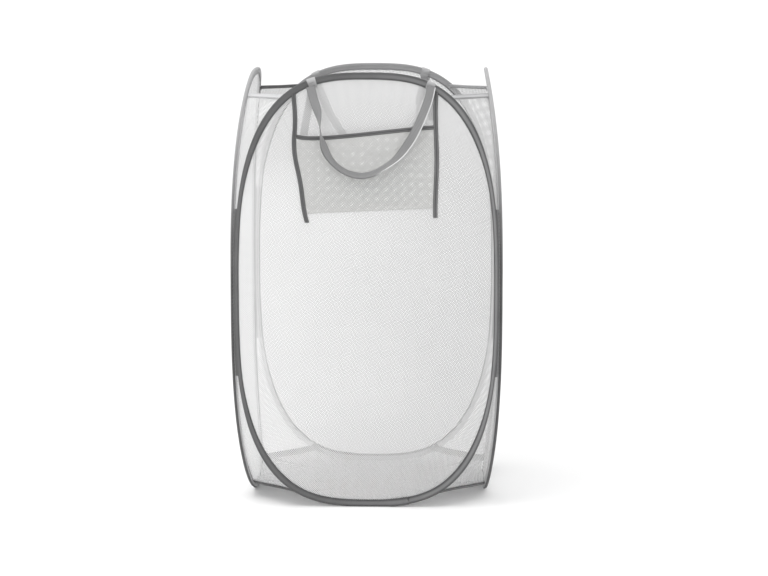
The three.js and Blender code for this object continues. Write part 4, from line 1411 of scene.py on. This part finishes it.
CAMERA_AT = (0.1285, -3.5587, 0.7443)
CAMERA_PITCH = 0.1285
CAMERA_TURN = 0.0309
FOCAL_LENGTH = 117.2
SENSOR_WIDTH = 36.0
BACKDROP_STEPS = 24
BACKDROP_COLUMNS = 9
ROOM_HALF_WIDTH = 6.0
AIR_STRENGTH = 1.1
LIGHT_AT = (-0.65, -0.75, 1.75)
LIGHT_AIM = (0, 0, 0.3)
LIGHT_WIDTH = 1.1
LIGHT_POWER = 9


def backdrop():
    """A plain floor that curves up into a wall behind the hamper."""
    near, start, radius, top = -5.0, 3.2, 2.0, 4.0
    bend = np.linspace(0, math.pi / 2, BACKDROP_STEPS)
    curve = np.stack([start + radius * np.sin(bend), radius * (1 - np.cos(bend))], axis=1)
    profile = np.vstack([[near, 0.0], curve, [start + radius, top]])
    widths = np.linspace(-ROOM_HALF_WIDTH, ROOM_HALF_WIDTH, BACKDROP_COLUMNS)
    grid = np.stack([np.insert(profile, 0, width, axis=1) for width in widths])
    return add_piece("studio_backdrop", grid, grid_faces(*grid.shape[:2]), "studio_paper", grid)


def stand(name, data, at, turn):
    """A light or camera, put where it stands."""
    made = bpy.data.objects.new(name, data)
    made.location = at
    made.rotation_euler = turn
    bpy.context.scene.collection.objects.link(made)
    return made


def soft_light():
    """A square soft light above the left front corner, aimed at the hamper's middle."""
    data = bpy.data.lights.new("key_light", "AREA")
    data.shape = "SQUARE"
    data.size = LIGHT_WIDTH
    data.energy = LIGHT_POWER
    aim = (Vector(LIGHT_AIM) - Vector(LIGHT_AT)).to_track_quat("-Z", "Y").to_euler()
    return stand("key_light", data, LIGHT_AT, aim)


def view_camera():
    """A camera at the front, a little above the hamper."""
    data = bpy.data.cameras.new("view")
    data.lens = FOCAL_LENGTH
    data.sensor_width = SENSOR_WIDTH
    return stand("view", data, CAMERA_AT, (math.pi / 2 - CAMERA_PITCH, 0, CAMERA_TURN))


class HamperOperator(bpy.types.Operator):
    """Shared settings of the hamper's operators."""

    bl_options = {"REGISTER", "UNDO"}


class HAMPER_OT_wires(HamperOperator):
    """Finish the four sprung wires and their ferrules, which stay as modelled"""

    bl_idname = "hamper.wires"
    bl_label = "Wires"

    def execute(self, context):
        for side in SIDES:
            for node, metal in (("wire", "drawn_wire"), ("ferrule", "dull_zinc")):
                materials = frame["nodes"][f"{side}_hoop_{node}"].data.materials
                materials.clear()
                materials.append(finish(metal))
        return {"FINISHED"}


class HAMPER_OT_hoop_tapes(HamperOperator):
    """Fold and stitch the tapes round the four hoops"""

    bl_idname = "hamper.hoop_tapes"
    bl_label = "Hoop Tapes"

    def execute(self, context):
        for side in SIDES.values():
            hoop_tape(side)
        return {"FINISHED"}


class HAMPER_OT_walls(HamperOperator):
    """Stretch the mesh walls inside the four hoops"""

    bl_idname = "hamper.walls"
    bl_label = "Mesh Walls"

    def execute(self, context):
        for side in SIDES.values():
            mesh_wall(side)
        return {"FINISHED"}


class HAMPER_OT_gussets(HamperOperator):
    """Put the mesh gussets between neighbouring hoops"""

    bl_idname = "hamper.gussets"
    bl_label = "Gussets"

    def execute(self, context):
        for corner in CORNERS.values():
            gusset(corner, "upper", 1)
            gusset(corner, "lower", -1)
        return {"FINISHED"}


class HAMPER_OT_corner_tapes(HamperOperator):
    """Fold the tapes over the edges of the gussets"""

    bl_idname = "hamper.corner_tapes"
    bl_label = "Corner Tapes"

    def execute(self, context):
        for corner in CORNERS.values():
            corner_tape(corner, "rim", 1, "rim_tape")
            corner_tape(corner, "foot", -1, "floor_tape")
        return {"FINISHED"}


class HAMPER_OT_seams(HamperOperator):
    """Sew the upright seams that join neighbouring hoops"""

    bl_idname = "hamper.seams"
    bl_label = "Corner Seams"

    def execute(self, context):
        for corner in CORNERS.values():
            corner_seam(corner)
        return {"FINISHED"}


class HAMPER_OT_floor(HamperOperator):
    """Lay the mesh floor in four quarters"""

    bl_idname = "hamper.floor"
    bl_label = "Floor"

    def execute(self, context):
        for side in SIDES.values():
            floor_quarter(side)
        return {"FINISHED"}


class HAMPER_OT_pocket(HamperOperator):
    """Sew the pocket on the front wall"""

    bl_idname = "hamper.pocket"
    bl_label = "Pocket"

    def execute(self, context):
        pocket_tape(-1, "pocket_left_band", "pocket_left_tape")
        pocket_tape(1, "pocket_right_band", "pocket_right_tape")
        pocket_hem("pocket_mouth_band", "pocket_hem")
        pocket_panel("pocket_mesh", "pocket_panel")
        return {"FINISHED"}


class HAMPER_OT_handles(HamperOperator):
    """Hang the two webbing handles and sew their anchors over the hoops"""

    bl_idname = "hamper.handles"
    bl_label = "Handles"

    def execute(self, context):
        webbing = sizes("handles")
        for name in ("front", "rear"):
            handle(name)
            anchor(name, f"{name}_handle_tail_anchor", f"{name}_tail_anchor", -webbing.left, True)
            anchor(name, f"{name}_handle_anchor", f"{name}_plain_anchor", webbing.right, False)
        return {"FINISHED"}


class HAMPER_OT_stage(HamperOperator):
    """Set the backdrop, the soft light and the camera"""

    bl_idname = "hamper.stage"
    bl_label = "Stage"

    def execute(self, context):
        world = bpy.data.worlds.new("studio_air")
        world.use_nodes = True
        air = world.node_tree.nodes["Background"].inputs
        air["Color"].default_value = (1, 1, 1, 1)
        air["Strength"].default_value = AIR_STRENGTH
        context.scene.world = world
        camera = view_camera()
        context.scene.camera = camera
        context.scene.view_settings.view_transform = "Standard"
        backdrop()
        soft_light()
        return {"FINISHED"}


class HAMPER_PT_panel(bpy.types.Panel):
    """Lists the hamper's operators in the order that builds it"""

    bl_idname = "HAMPER_PT_panel"
    bl_label = "Laundry Hamper"
    bl_space_type = "VIEW_3D"
    bl_region_type = "UI"
    bl_category = "Hamper"

    def draw(self, context):
        for step in STEPS:
            self.layout.operator(step.bl_idname)


STEPS = (
    HAMPER_OT_wires,
    HAMPER_OT_hoop_tapes,
    HAMPER_OT_walls,
    HAMPER_OT_gussets,
    HAMPER_OT_corner_tapes,
    HAMPER_OT_seams,
    HAMPER_OT_floor,
    HAMPER_OT_pocket,
    HAMPER_OT_handles,
    HAMPER_OT_stage,
)
GROUPS = {
    "hoops": HamperHoops,
    "cloth": HamperCloth,
    "pocket": HamperPocket,
    "handles": HamperHandles,
    "colours": HamperColours,
}


def register():
    for name, group in GROUPS.items():
        bpy.utils.register_class(group)
        setattr(bpy.types.Scene, "hamper_" + name, bpy.props.PointerProperty(type=group))
    for step in (*STEPS, HAMPER_PT_panel):
        bpy.utils.register_class(step)


def unregister():
    for step in (HAMPER_PT_panel, *reversed(STEPS)):
        bpy.utils.unregister_class(step)
    for name, group in GROUPS.items():
        delattr(bpy.types.Scene, "hamper_" + name)
        bpy.utils.unregister_class(group)


def main():
    register()
    bpy.ops.hamper.wires()
    bpy.ops.hamper.hoop_tapes()
    bpy.ops.hamper.walls()
    bpy.ops.hamper.gussets()
    bpy.ops.hamper.corner_tapes()
    bpy.ops.hamper.seams()
    bpy.ops.hamper.floor()
    bpy.ops.hamper.pocket()
    bpy.ops.hamper.handles()
    bpy.ops.hamper.stage()


if __name__ == "__main__":
    main()
